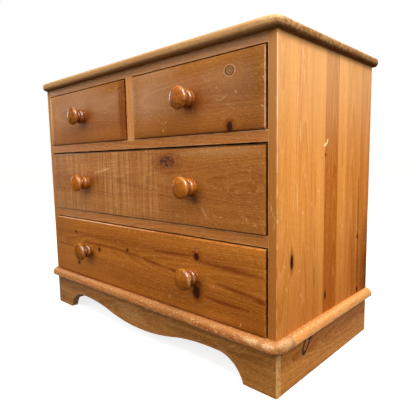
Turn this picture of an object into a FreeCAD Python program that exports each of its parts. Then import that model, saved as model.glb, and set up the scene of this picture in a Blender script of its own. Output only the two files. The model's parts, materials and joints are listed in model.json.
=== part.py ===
import FreeCAD, Part
import math
import os

# Pine chest of drawers: two small drawers over two wide ones, on a plinth with bracket feet.
# X runs along the front to the right, Y from the front to the back and Z up. The origin is on the
# floor, under the middle of the whole chest with its knobs.

# Driving dimensions of the carcase, in millimetres
carcase_width = 850.0
carcase_depth = 422.0
side_thickness = 20.0
back_thickness = 5.0
back_rebate = 10.0
back_play = 0.5
eased_edge = 1.0
worn_arris = 3.0

# Top board
top_thickness = 22.0
top_front_overhang = 16.0
top_side_overhang = 10.0
top_rear_overhang = 12.0
top_corner_radius = 24.0
top_upper_round = 10.0
top_lower_round = 9.0

# Base boards and plinth
plinth_height = 95.0
plinth_thickness = 20.0
plinth_lap = 12.0
plinth_rear_lift = 15.0
base_thickness = 21.0
base_front_overhang = 19.0
base_side_overhang = 16.0
base_corner_radius = 28.0
base_upper_round = 15.0
base_lower_round = 4.0
base_board_depth = 60.0
glue_block_leg = 40.0
glue_block_lift = 10.0

# Shaped lower edge of the front plinth
foot_inner_x = 345.0
cove_end_x = 276.0
shoulder_end_x = 255.0
shoulder_height = 52.0
drop_half_width = 5.0
drop_height = 23.0

# Openings and rails, from the bottom up
bottom_opening = 175.0
middle_opening = 173.0
upper_opening = 150.0
rail_thickness = 22.0
top_rail_thickness = 19.0
rail_depth = 45.0
divider_width = 27.0
divider_depth = 22.0
tenon_length = 10.0
tenon_thickness = 8.0
tenon_shoulder = 8.0
rail_tenon_shoulder = 13.0
divider_tenon = 8.0

# Runners, guide, kickers and stops
runner_width = 22.0
centre_runner_width = 70.0
lower_runner_rear_gap = 22.0
guide_width = 24.0
guide_height = 20.0
stop_width = 40.0
stop_depth = 20.0
stop_height = 6.0

# Drawers
drawer_front_thickness = 20.0
drawer_side_thickness = 12.0
drawer_back_thickness = 12.0
drawer_bottom_thickness = 4.0
drawer_depth = 400.0
drawer_back_inset = 13.0
drawer_proud = 4.0
drawer_end_gap = 3.0
drawer_under_gap = 1.0
drawer_over_gap = 3.0
running_clearance = 0.2
side_below_front = 6.0
back_below_side = 8.0
bottom_lift = 10.0
groove_depth = 5.0
groove_play = 0.1
dovetail_lap = 7.0
dovetail_pitch = 28.0
dovetail_root_share = 0.66
dovetail_slope = math.radians(9.0)
front_arris = 3.5

# Turned knobs: distance from the drawer front and radius at each turn of the profile
knob_projection = 42.0
knob_radius = 23.5
knob_ring_radius = 17.5
knob_ring_length = 4.0
knob_ring_round = 1.0
knob_bead_radius = 19.2
knob_bead_root = 16.0
knob_bead_end = 16.5
knob_neck_radius = 12.0
knob_head_start = 24.5
knob_head_widest = 32.0
knob_rim_round = 7.0
knob_spread = 211.0

# Screws and pins
screw_radius = 2.0
screw_head_radius = 4.0
screw_head_length = 2.4
screw_point = 5.0
hole_play = 0.05
top_screw_length = 34.0
runner_screw_length = 36.0
base_screw_length = 50.0
knob_screw_head_radius = 4.5
knob_screw_head_length = 3.0
knob_screw_bite = 24.0
knob_hole_radius = 2.5
pin_radius = 0.9
pin_length = 20.0
pin_head_radius = 2.0
pin_head_length = 0.8

# Where fasteners and stops stand, as shares of the half width, depth, height or drawer width
top_screw_shares = (-0.8, -0.3, 0.3, 0.8)
runner_screw_shares = (0.3, 0.7)
base_screw_shares = (0.2, 0.5, 0.8)
side_pin_shares = (0.06, 0.28, 0.5, 0.72, 0.94)
rail_pin_shares = (-0.8, -0.4, 0.0, 0.4, 0.8)
stop_shares = (0.25, 0.75)

# Places worked out from the driving dimensions
half_width = carcase_width / 2
inner_x = half_width - side_thickness
front_y = -(carcase_depth + top_rear_overhang - drawer_proud - knob_projection) / 2
drawer_y = front_y - drawer_proud
rear_y = front_y + carcase_depth
back_y = rear_y - back_thickness
rail_rear_y = front_y + rail_depth
rear_rail_y = back_y - rail_depth
base_z = plinth_height
bottom_run = base_z + base_thickness
lower_rail_z = bottom_run + bottom_opening
middle_run = lower_rail_z + rail_thickness
middle_rail_z = middle_run + middle_opening
upper_run = middle_rail_z + rail_thickness
top_rail_z = upper_run + upper_opening
top_z = top_rail_z + top_rail_thickness
base_edge_x = half_width + base_side_overhang
base_front_y = front_y - base_front_overhang
base_joint_y = base_front_y + base_board_depth
base_inner_x = base_edge_x - base_board_depth
runner_x = inner_x - runner_width

SIDES = {"left": -1, "right": 1}
SAME_PLACE = 1e-4
OUT = "parts"


def vector(x, y, z):
    """A point or direction."""
    return FreeCAD.Vector(x, y, z)


def box(x, y, z):
    """A block between the low and high limits given for each axis."""
    return Part.makeBox(x[1] - x[0], y[1] - y[0], z[1] - z[0], vector(x[0], y[0], z[0]))


def mirrored(shape, side):
    """The right-hand shape as it is, or turned over for the left-hand side."""
    if SIDES[side] > 0:
        return shape
    return shape.mirror(vector(0, 0, 0), vector(1, 0, 0))


def cut_by(shape, tools):
    """The shape with each of the other pieces cut out of it."""
    for tool in tools:
        shape = shape.cut(tool)
    return shape.removeSplitter()


def joined(first, *others):
    """Several overlapping shapes made into one."""
    for other in others:
        first = first.fuse(other)
    return first.removeSplitter()


def lies_at(edge, axis, value):
    """Whether the whole edge lies at one value of an axis."""
    bound = edge.BoundBox
    low = getattr(bound, axis + "Min")
    high = getattr(bound, axis + "Max")
    return abs(low - value) < SAME_PLACE and abs(high - value) < SAME_PLACE


def eased(shape, radius, chosen):
    """The shape with its chosen edges rounded."""
    edges = [edge for edge in shape.Edges if chosen(edge)]
    return shape.makeFillet(radius, edges)


def turned(profile, start, direction):
    """A solid turned from a closed profile of edges in the XY plane, whose axis is X.

    The profile's X runs along the direction given, from the start, and its Y is the radius.
    """
    face = Part.Face(Part.Wire(profile))
    solid = face.revolve(vector(0, 0, 0), vector(1, 0, 0), 360)
    turn = FreeCAD.Rotation(vector(1, 0, 0), direction)
    solid.Placement = FreeCAD.Placement(start, turn)
    return solid


def lines(points):
    """Straight edges through points of a profile, given as (length, radius)."""
    ends = [vector(x, y, 0) for x, y in points]
    return [Part.makeLine(a, b) for a, b in zip(ends, ends[1:])]


def arc(first, middle, last):
    """An arc edge through three points of a profile."""
    points = [vector(x, y, 0) for x, y in (first, middle, last)]
    return Part.Arc(*points).toShape()


def wood_screw(start, direction, length, play=0.0):
    """A countersunk screw, or with some play the hole that it sits in."""
    profile = [
        (-play, 0.0),
        (-play, screw_head_radius + play),
        (0.0, screw_head_radius + play),
        (screw_head_length, screw_radius + play),
        (length - screw_point, screw_radius + play),
        (length + play, 0.0),
        (-play, 0.0),
    ]
    if not play:
        del profile[1]
    return turned(lines(profile), start, direction)


def panel_pin(start, play=0.0):
    """A flat-headed pin driven forward through the back panel, or with some play its hole."""
    profile = [
        (-pin_head_length, 0.0),
        (-pin_head_length, pin_head_radius),
        (0.0, pin_head_radius),
        (0.0, pin_radius),
        (pin_length, pin_radius),
        (pin_length, 0.0),
        (-pin_head_length, 0.0),
    ]
    if play:
        profile = [
            (-play, 0.0),
            (-play, pin_radius + play),
            (pin_length + play, pin_radius + play),
            (pin_length + play, 0.0),
            (-play, 0.0),
        ]
    return turned(lines(profile), start, vector(0, -1, 0))


def moulded_board(x_edge, front, rear, corner, z, upper, lower):
    """A board with round front corners whose front and end edges are rounded over."""
    k = corner * (1 - math.sqrt(0.5))
    points = [
        vector(-x_edge, rear, z[0]),
        vector(-x_edge, front + corner, z[0]),
        vector(-x_edge + k, front + k, z[0]),
        vector(-x_edge + corner, front, z[0]),
        vector(x_edge - corner, front, z[0]),
        vector(x_edge - k, front + k, z[0]),
        vector(x_edge, front + corner, z[0]),
        vector(x_edge, rear, z[0]),
    ]
    outline = Part.Wire([
        Part.makeLine(points[0], points[1]),
        Part.Arc(*points[1:4]).toShape(),
        Part.makeLine(points[3], points[4]),
        Part.Arc(*points[4:7]).toShape(),
        Part.makeLine(points[6], points[7]),
        Part.makeLine(points[7], points[0]),
    ])
    board = Part.Face(outline).extrude(vector(0, 0, z[1] - z[0]))
    board = eased(board, upper, lambda e: lies_at(e, "Z", z[1]) and not lies_at(e, "Y", rear))
    return eased(board, lower, lambda e: lies_at(e, "Z", z[0]) and not lies_at(e, "Y", rear))


def rail(y, z):
    """A rail between the sides, with a stub tenon at each end and its front edges eased."""
    body = box((-inner_x, inner_x), y, z)
    if y[0] == front_y:
        body = eased(body, eased_edge, lambda e: lies_at(e, "Y", front_y) and not is_upright(e))
    middle = (z[0] + z[1]) / 2
    reach = inner_x + tenon_length
    tenon = box((-reach, reach), (y[0] + rail_tenon_shoulder, y[1] - rail_tenon_shoulder),
                (middle - tenon_thickness / 2, middle + tenon_thickness / 2))
    return joined(body, tenon)


def is_upright(edge):
    """Whether an edge runs up and down."""
    bound = edge.BoundBox
    return bound.ZLength > max(bound.XLength, bound.YLength)


def runner(x, y, z, rear_tongue=True):
    """A strip between front and rear rails, with a tongue let into each of them."""
    middle = (z[0] + z[1]) / 2
    reach = y[1] + tenon_length if rear_tongue else y[1]
    tongue = box(x, (y[0] - tenon_length, reach),
                 (middle - tenon_thickness / 2, middle + tenon_thickness / 2))
    return joined(box(x, y, z), tongue)


def build_runners():
    """Runners of the upper and middle drawers, the kickers under the top and the centre guide."""
    between = (rail_rear_y, rear_rail_y)
    upper = (middle_rail_z, upper_run)
    lower = (lower_rail_z, middle_run)
    under_top = (top_rail_z, top_z)
    centre = (-centre_runner_width / 2, centre_runner_width / 2)
    at_side = (runner_x, inner_x)
    nodes = {"upper_runner_centre": runner(centre, between, upper)}
    kickers = [runner(centre, between, under_top)]
    for side in SIDES:
        nodes["upper_runner_" + side] = mirrored(runner(at_side, between, upper), side)
        lower_y = (rail_rear_y, rear_y - lower_runner_rear_gap)
        nodes["lower_runner_" + side] = mirrored(runner(at_side, lower_y, lower, False), side)
        kickers.append(mirrored(runner(at_side, between, under_top), side))
    nodes["kickers"] = Part.makeCompound(kickers)
    nodes["centre_guide"] = box((-guide_width / 2, guide_width / 2),
                                (front_y + divider_depth, rear_rail_y),
                                (upper_run, upper_run + guide_height))
    return nodes


def build_divider():
    """The upright between the two small drawers, with a stub tenon at its top and bottom."""
    x = (-divider_width / 2, divider_width / 2)
    y = (front_y, front_y + divider_depth)
    post = box(x, y, (upper_run, top_rail_z))
    post = eased(post, eased_edge, lambda e: lies_at(e, "Y", front_y) and is_upright(e))
    tenon = box((x[0] + tenon_shoulder, x[1] - tenon_shoulder), (y[0] + tenon_shoulder, y[1] - eased_edge),
                (upper_run - divider_tenon, top_rail_z + divider_tenon))
    return joined(post, tenon)


def build_rails(runners, divider):
    """The front and rear rails, with grooves for the runners' tongues and the divider's mortises."""
    front = (front_y, rail_rear_y)
    rear = (rear_rail_y, back_y)
    under_top = (top_rail_z, top_z)
    upper = (middle_rail_z, upper_run)
    lower = (lower_rail_z, middle_run)
    upper_runners = [runners["upper_runner_" + place] for place in ("left", "centre", "right")]
    lower_runners = [runners["lower_runner_" + side] for side in SIDES]
    return {
        "top_rail_front": cut_by(rail(front, under_top), [runners["kickers"], divider]),
        "middle_rail_front": cut_by(rail(front, upper), upper_runners + [divider]),
        "lower_rail_front": cut_by(rail(front, lower), lower_runners),
        "top_rail_rear": cut_by(rail(rear, under_top), [runners["kickers"]]),
        "middle_rail_rear": cut_by(rail(rear, upper), upper_runners),
    }


def build_side(side, rails):
    """A side panel with a rebate for the back and mortises for the rails."""
    panel = box((inner_x, half_width), (front_y, rear_y), (bottom_run, top_z))
    at_front = lambda e: lies_at(e, "Y", front_y) and is_upright(e)
    panel = eased(panel, worn_arris, lambda e: at_front(e) and lies_at(e, "X", half_width))
    panel = eased(panel, eased_edge, lambda e: at_front(e) and lies_at(e, "X", inner_x))
    rebate = box((inner_x, inner_x + back_rebate), (back_y, rear_y), (bottom_run, top_z))
    return cut_by(mirrored(panel.cut(rebate), side), rails)


def build_base():
    """The frame of base boards with a rounded outer edge: front, two sides and rear."""
    z = (base_z, bottom_run)
    middle = (base_z + bottom_run) / 2
    tongue_z = (middle - tenon_thickness / 2, middle + tenon_thickness / 2)
    front = moulded_board(base_edge_x, base_front_y, base_joint_y, base_corner_radius, z,
                          base_upper_round, base_lower_round)
    rear_depth = (rear_y - base_board_depth, rear_y)
    rear = box((-base_inner_x, base_inner_x), rear_depth, z)
    reach = base_inner_x + tenon_length
    tenon = box((-reach, reach), (rear_depth[0] + tenon_shoulder, rear_depth[1] - tenon_shoulder), tongue_z)
    nodes = {"base_board_rear": joined(rear, tenon)}
    for side in SIDES:
        board = box((base_inner_x, base_edge_x), (base_joint_y, rear_y), z)
        outer = lambda e, height: lies_at(e, "X", base_edge_x) and lies_at(e, "Z", height)
        board = eased(board, base_upper_round, lambda e: outer(e, bottom_run))
        board = eased(board, base_lower_round, lambda e: outer(e, base_z))
        stub = box((base_inner_x + tenon_shoulder, inner_x + tenon_shoulder),
                   (base_joint_y - tenon_length, base_joint_y), tongue_z)
        board = cut_by(joined(board, stub), [nodes["base_board_rear"]])
        nodes["base_board_" + side] = mirrored(board, side)
    nodes["base_board_front"] = cut_by(front, [nodes["base_board_" + side] for side in SIDES])
    return nodes


def plinth_outline():
    """The front plinth's outline: two bracket feet and a lower edge that drops in the middle."""
    def at(x, z):
        return vector(x, front_y, z)

    def bend(first, middle, last):
        return Part.Arc(at(*first), at(*middle), at(*last)).toShape()

    def cove(sign):
        run = foot_inner_x - cove_end_x
        radius = (run ** 2 + shoulder_height ** 2) / (2 * shoulder_height)
        half = run / 2
        rise = shoulder_height - radius + math.sqrt(radius ** 2 - half ** 2)
        return bend((sign * foot_inner_x, 0), (sign * (cove_end_x + half), rise),
                    (sign * cove_end_x, shoulder_height))

    def sweep(sign):
        run = shoulder_end_x - drop_half_width
        fall = shoulder_height - drop_height
        radius = (run ** 2 + fall ** 2) / (4 * fall)
        quarter = run / 4
        sag = radius - math.sqrt(radius ** 2 - quarter ** 2)
        middle = (sign * (drop_half_width + run / 2), (shoulder_height + drop_height) / 2)
        upper = bend((sign * shoulder_end_x, shoulder_height),
                     (sign * (shoulder_end_x - quarter), shoulder_height - sag), middle)
        lower = bend(middle, (sign * (drop_half_width + quarter), drop_height + sag),
                     (sign * drop_half_width, drop_height))
        return [upper, lower]

    edges = [Part.makeLine(at(-drop_half_width, drop_height), at(drop_half_width, drop_height)),
             Part.makeLine(at(-half_width, plinth_height), at(half_width, plinth_height))]
    for sign in SIDES.values():
        shoulder = [at(sign * cove_end_x, shoulder_height), at(sign * shoulder_end_x, shoulder_height)]
        foot = [at(sign * half_width, 0), at(sign * foot_inner_x, 0)]
        outer = [at(sign * half_width, plinth_height), at(sign * half_width, 0)]
        edges += [cove(sign), *sweep(sign)]
        edges += [Part.makeLine(*ends) for ends in (shoulder, foot, outer)]
    return Part.Wire(Part.__sortEdges__(edges))


def build_plinth():
    """The plinth: shaped front lapped over plain sides, a rear board and blocks in the corners."""
    front = Part.Face(plinth_outline()).extrude(vector(0, plinth_thickness, 0))
    corner = lambda e: lies_at(e, "Y", front_y) and is_upright(e) and abs(e.CenterOfMass.x) > foot_inner_x
    front = eased(front, worn_arris, corner)
    lap_y = front_y + plinth_lap
    inside_y = front_y + plinth_thickness
    nodes = {"plinth_rear": box((-inner_x, inner_x), (rear_y - plinth_thickness, rear_y),
                                (plinth_rear_lift, plinth_height))}
    blocks = []
    for side in SIDES:
        board = box((inner_x, half_width), (lap_y, rear_y), (0, plinth_height))
        foot = lambda e: lies_at(e, "X", half_width) and lies_at(e, "Z", 0)
        nodes["plinth_" + side] = mirrored(eased(board, eased_edge, foot), side)
        for wall_y, into in ((inside_y, 1), (rear_y - plinth_thickness, -1)):
            corners = [
                vector(inner_x, wall_y, glue_block_lift + plinth_rear_lift),
                vector(inner_x - glue_block_leg, wall_y, glue_block_lift + plinth_rear_lift),
                vector(inner_x, wall_y + into * glue_block_leg, glue_block_lift + plinth_rear_lift),
            ]
            face = Part.Face(Part.makePolygon(corners + corners[:1]))
            height = plinth_height - glue_block_lift - plinth_rear_lift
            blocks.append(mirrored(face.extrude(vector(0, 0, height)), side))
    nodes["plinth_front"] = cut_by(front, [nodes["plinth_" + side] for side in SIDES])
    nodes["corner_blocks"] = Part.makeCompound(blocks)
    return nodes


def build_stops(drawers):
    """Small blocks on the rails that the drawer fronts close against, two for each drawer."""
    y = drawer_y + drawer_front_thickness
    blocks = []
    for drawer in drawers:
        width = drawer.x[1] - drawer.x[0]
        for share in stop_shares:
            x = drawer.x[0] + share * width
            blocks.append(box((x - stop_width / 2, x + stop_width / 2), (y, y + stop_depth),
                              (drawer.run, drawer.run + stop_height)))
    return Part.makeCompound(blocks)


def screw_places():
    """Where the carcase's wood screws go: start, direction and length of each."""
    places = []
    for y in (front_y + rail_depth * 2 / 3, (rear_rail_y + back_y) / 2):
        for share in top_screw_shares:
            places.append((vector(share * inner_x, y, top_rail_z), vector(0, 0, 1), top_screw_length))
    for sign in SIDES.values():
        for share in runner_screw_shares:
            y = front_y + share * carcase_depth
            for z in (lower_rail_z, middle_rail_z):
                start = vector(sign * runner_x, y, z + rail_thickness / 2)
                places.append((start, vector(sign, 0, 0), runner_screw_length))
        for share in base_screw_shares:
            start = vector(sign * (inner_x + half_width) / 2, front_y + share * carcase_depth, base_z)
            places.append((start, vector(0, 0, 1), base_screw_length))
    return places


def pin_places():
    """Where the back panel's pins go: down both sides and along the two rear rails."""
    places = []
    for sign in SIDES.values():
        for share in side_pin_shares:
            z = bottom_run + share * (top_z - bottom_run)
            places.append(vector(sign * (inner_x + back_rebate / 2), rear_y, z))
    for z in (middle_rail_z + rail_thickness / 2, top_rail_z + top_rail_thickness / 2):
        for share in rail_pin_shares:
            places.append(vector(share * inner_x, rear_y, z))
    return places


class Drawer:
    """One drawer: its opening, and the pieces that it is made of."""

    def __init__(self, name, x, run, opening, knobs):
        self.name = name
        self.x = (x[0] + drawer_end_gap, x[1] - drawer_end_gap)
        self.run = run
        self.front_z = (run + drawer_under_gap, run + opening - drawer_over_gap)
        self.side_z = (run + running_clearance, self.front_z[1] - side_below_front)
        self.inner = (self.x[0] + drawer_side_thickness, self.x[1] - drawer_side_thickness)
        self.floor = (run + bottom_lift, run + bottom_lift + drawer_bottom_thickness)
        self.joint_y = drawer_y + drawer_front_thickness
        self.rear_y = drawer_y + drawer_depth
        self.back_y = (self.rear_y - drawer_back_inset - drawer_back_thickness,
                       self.rear_y - drawer_back_inset)
        self.knobs = knobs

    def side_blank(self, x):
        """A drawer side with its row of dovetails, before it is grooved."""
        low, high = self.side_z
        tails = round((high - low) / dovetail_pitch)
        pitch = (high - low) / tails
        root = pitch * dovetail_root_share / 2
        length = drawer_front_thickness - dovetail_lap
        tip = root + length * math.tan(dovetail_slope)
        points = [(self.rear_y, high), (self.rear_y, low), (self.joint_y, low)]
        for number in range(tails):
            centre = low + (number + 0.5) * pitch
            points += [(self.joint_y, centre - root), (self.joint_y - length, centre - tip),
                       (self.joint_y - length, centre + tip), (self.joint_y, centre + root)]
        points.append((self.joint_y, high))
        corners = [vector(x[0], y, z) for y, z in points]
        face = Part.Face(Part.makePolygon(corners + corners[:1]))
        return face.extrude(vector(x[1] - x[0], 0, 0))

    def groove(self):
        """The room that the bottom takes up in the sides and the front."""
        return box((self.inner[0] - groove_depth, self.inner[1] + groove_depth),
                   (self.joint_y - groove_depth, self.rear_y),
                   (self.floor[0] - groove_play, self.floor[1] + groove_play))

    def back(self):
        """The back, housed in the sides and standing on the bottom."""
        return box((self.inner[0] - groove_depth, self.inner[1] + groove_depth), self.back_y,
                   (self.floor[1] + groove_play, self.side_z[1] - back_below_side))

    def bottom(self):
        """The bottom, a thin sheet slid in from behind."""
        slack = groove_depth - back_play
        return box((self.inner[0] - slack, self.inner[1] + slack),
                   (self.joint_y - slack, self.back_y[1]), self.floor)

    def front(self, blanks):
        """The front with its arrises rounded, sockets for the dovetails, and holes for the knobs."""
        board = box(self.x, (drawer_y, self.joint_y), self.front_z)
        board = eased(board, front_arris, lambda e: lies_at(e, "Y", drawer_y))
        holes = []
        for x in self.knobs:
            start = vector(x, drawer_y, self.knob_z())
            holes.append(Part.makeCylinder(knob_hole_radius, drawer_front_thickness, start, vector(0, 1, 0)))
        return cut_by(board, blanks + [self.groove()] + holes)

    def knob_z(self):
        """Height of the knobs: the middle of the front."""
        return (self.front_z[0] + self.front_z[1]) / 2

    def knob(self, x):
        """A turned knob: a ring and a bead at the foot, a neck and a round head with a low dome."""
        bead_top = ((knob_ring_length + knob_bead_end) / 2, knob_bead_radius)
        neck = ((knob_bead_end + knob_head_start) / 2, knob_neck_radius)
        depth = knob_head_widest - knob_head_start
        rise = knob_radius - knob_bead_root
        back_round = (depth ** 2 + rise ** 2) / (2 * rise)
        half_turn = math.asin(depth / back_round) / 2
        behind = (knob_head_widest - back_round * math.sin(half_turn),
                  knob_radius - back_round * (1 - math.cos(half_turn)))
        rim_centre = knob_radius - knob_rim_round
        ahead = knob_projection - knob_head_widest
        dome = (ahead ** 2 + rim_centre ** 2 - knob_rim_round ** 2) / (2 * (ahead - knob_rim_round))
        lean = math.asin(rim_centre / (dome - knob_rim_round))
        rim_turn = (math.pi / 2 + lean) / 2
        before = (knob_head_widest + knob_rim_round * math.cos(rim_turn),
                  rim_centre + knob_rim_round * math.sin(rim_turn))
        dome_centre = knob_projection - dome
        face_edge = (dome_centre + dome * math.cos(lean), dome * math.sin(lean))
        crown = (dome_centre + dome * math.cos(lean / 2), dome * math.sin(lean / 2))
        profile = lines([(0, 0), (0, knob_ring_radius), (knob_ring_length, knob_ring_radius),
                         (knob_ring_length, knob_bead_root)])
        profile += [
            arc((knob_ring_length, knob_bead_root), bead_top, (knob_bead_end, knob_bead_root)),
            arc((knob_bead_end, knob_bead_root), neck, (knob_head_start, knob_bead_root)),
            arc((knob_head_start, knob_bead_root), behind, (knob_head_widest, knob_radius)),
            arc((knob_head_widest, knob_radius), before, face_edge),
            arc(face_edge, crown, (knob_projection, 0)),
        ]
        profile += lines([(knob_projection, 0), (0, 0)])
        start = vector(x, drawer_y, self.knob_z())
        body = turned(profile, start, vector(0, -1, 0))
        ring_y = drawer_y - knob_ring_length
        between = knob_ring_radius + knob_bead_root
        on_ring = lambda e: lies_at(e, "Y", ring_y) and e.BoundBox.XLength > between
        body = eased(body, knob_ring_round, on_ring)
        bite = knob_screw_bite + hole_play
        return body.cut(Part.makeCylinder(screw_radius + hole_play, bite, start, vector(0, -1, 0)))

    def knob_screw(self, x):
        """The screw that holds a knob, driven from inside the drawer."""
        reach = knob_screw_head_length + drawer_front_thickness + knob_screw_bite
        profile = lines([(0, 0), (0, knob_screw_head_radius),
                         (knob_screw_head_length, knob_screw_head_radius),
                         (knob_screw_head_length, screw_radius), (reach - screw_point, screw_radius),
                         (reach, 0), (0, 0)])
        start = vector(x, self.joint_y + knob_screw_head_length, self.knob_z())
        return turned(profile, start, vector(0, -1, 0))

    def nodes(self):
        """Every piece of the drawer by its node name."""
        blanks = {"left": self.side_blank((self.x[0], self.inner[0])),
                  "right": self.side_blank((self.inner[1], self.x[1]))}
        back = self.back()
        pieces = {"front": self.front(list(blanks.values())), "back": back, "bottom": self.bottom()}
        for side, blank in blanks.items():
            pieces["side_" + side] = cut_by(blank, [self.groove(), back])
        if len(self.knobs) == 1:
            pieces["knob"] = self.knob(self.knobs[0])
            pieces["knob_screw"] = self.knob_screw(self.knobs[0])
        else:
            for side, x in zip(SIDES, self.knobs):
                pieces["knob_" + side] = self.knob(x)
            pieces["knob_screws"] = Part.makeCompound([self.knob_screw(x) for x in self.knobs])
        return {self.name + "_drawer_" + piece: shape for piece, shape in pieces.items()}


def build_carcase(drawers):
    """Every fixed piece of the chest by its node name, with the holes for screws and pins."""
    nodes = build_runners()
    nodes["drawer_divider"] = build_divider()
    rails = build_rails(nodes, nodes["drawer_divider"])
    for side in SIDES:
        nodes["side_panel_" + side] = build_side(side, list(rails.values()))
    nodes.update(rails)
    nodes.update(build_base())
    nodes.update(build_plinth())
    nodes["top_board"] = moulded_board(half_width + top_side_overhang, front_y - top_front_overhang,
                                       rear_y + top_rear_overhang, top_corner_radius,
                                       (top_z, top_z + top_thickness), top_upper_round, top_lower_round)
    back_x = inner_x + back_rebate - back_play
    nodes["back_panel"] = box((-back_x, back_x), (back_y, rear_y), (bottom_run, top_z))
    holes = [wood_screw(*place, hole_play) for place in screw_places()]
    holes += [panel_pin(place, hole_play) for place in pin_places()]
    for name, shape in nodes.items():
        near = [hole for hole in holes if hole.BoundBox.intersect(shape.BoundBox)]
        if near and name not in ("kickers", "corner_blocks"):
            nodes[name] = cut_by(shape, near)
    nodes["drawer_stops"] = build_stops(drawers)
    nodes["wood_screws"] = Part.makeCompound([wood_screw(*place) for place in screw_places()])
    nodes["back_pins"] = Part.makeCompound([panel_pin(place) for place in pin_places()])
    return nodes


def main():
    """Builds every piece and writes one file for each."""
    beside = (divider_width / 2, inner_x)
    across = (-inner_x, inner_x)
    pair = [-knob_spread, knob_spread]
    drawers = [
        Drawer("upper_left", (-beside[1], -beside[0]), upper_run, upper_opening, pair[:1]),
        Drawer("upper_right", beside, upper_run, upper_opening, pair[1:]),
        Drawer("middle", across, middle_run, middle_opening, pair),
        Drawer("bottom", across, bottom_run, bottom_opening, pair),
    ]
    nodes = build_carcase(drawers)
    for drawer in drawers:
        nodes.update(drawer.nodes())
    os.makedirs(OUT, exist_ok=True)
    for name, shape in nodes.items():
        if not shape.isValid():
            raise ValueError(name + " is not a valid solid")
        shape.exportStep(os.path.join(OUT, name + ".step"))
        print(name, len(shape.Solids), round(shape.Volume / 1000, 1), "cm3")


main()
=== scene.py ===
"""Looks of a worn pine chest of drawers, dressed around its solids.

The chest stands on the floor with its front towards -Y. Lengths are metres in the frame of the solids,
and the sizes of marks and grain are millimetres, as a joiner would give them. A place on a board is given
as shares of its box: to the right, to the back and up, each from 0 to 1.
"""

from __future__ import annotations

import json
import logging
import math
from collections.abc import Sequence
from dataclasses import dataclass, replace
from enum import Enum
from functools import partial, reduce

import bpy
from mathutils import Matrix, Vector

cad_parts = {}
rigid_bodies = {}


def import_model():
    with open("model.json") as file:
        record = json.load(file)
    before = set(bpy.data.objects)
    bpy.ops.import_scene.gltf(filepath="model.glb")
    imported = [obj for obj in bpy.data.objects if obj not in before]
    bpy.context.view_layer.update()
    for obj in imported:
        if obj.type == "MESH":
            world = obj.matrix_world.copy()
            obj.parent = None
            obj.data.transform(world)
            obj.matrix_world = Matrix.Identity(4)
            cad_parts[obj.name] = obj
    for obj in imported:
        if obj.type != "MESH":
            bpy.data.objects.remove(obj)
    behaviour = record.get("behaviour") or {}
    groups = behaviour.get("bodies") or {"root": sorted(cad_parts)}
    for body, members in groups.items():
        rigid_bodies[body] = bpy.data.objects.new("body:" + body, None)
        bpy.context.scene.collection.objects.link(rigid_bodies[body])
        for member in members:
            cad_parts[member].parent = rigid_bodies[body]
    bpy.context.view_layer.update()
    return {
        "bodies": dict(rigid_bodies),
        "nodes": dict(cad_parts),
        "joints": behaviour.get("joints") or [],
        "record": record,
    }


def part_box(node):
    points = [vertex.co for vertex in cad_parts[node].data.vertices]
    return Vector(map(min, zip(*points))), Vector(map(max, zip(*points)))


LOG = logging.getLogger("chest")
MM = 0.001
AXES = "XYZ"
KNOT_DEPTH = 30.0
DRAWER_SEED = 41.0
KNOB_SEED = 51.0
KNOB_SEED_STEP = 1.7
WHITE = "#ffffff"
FLOOR_SEEN = "#b4b2ae"
FLOOR_LIGHTING = "#484644"
DULL_ZINC = "#8f8f8c"
BRIGHT_ZINC = "#c4c2ba"
# Painted sheen: a pale haze where the varnish of the upper fronts would reflect the light.
PAINTED_SHEEN_TINT = "#ad8a72"
LIPPING = "#965a20"
# Painted shade: under rounded edges, under an overhang and in a knob's groove.
UNDERSIDE_SHADE = "#3c2208"
# Painted shade on the underside of a rounded end.
END_SHADE = "#5a3412"
RUBBED_RIM = "#d89a46"
# Painted shade on a drawer front's ends, where the gap beside the drawer lies in shade.
GAP_SHADE_TINT = "#160b06"

Socket = bpy.types.NodeSocket
Value = Socket | float | Sequence[float]
Span = tuple[float, float]
Spot = tuple[float, float]
Place = tuple[float, float, float]
Colour = tuple[float, float, float, float]


def tint(code: str) -> Colour:
    """Turns a colour code into the light that the surface sends back.

    Args:
        code: A code such as #c08040, as a paint chart gives it.

    Returns:
        Red, green, blue and a full cover, each from 0 to 1.
    """
    parts = [int(code[i:i + 2], 16) / 255 for i in (1, 3, 5)]
    red, green, blue = [p / 12.92 if p <= 0.04045 else ((p + 0.055) / 1.055) ** 2.4 for p in parts]
    return red, green, blue, 1.0


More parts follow.
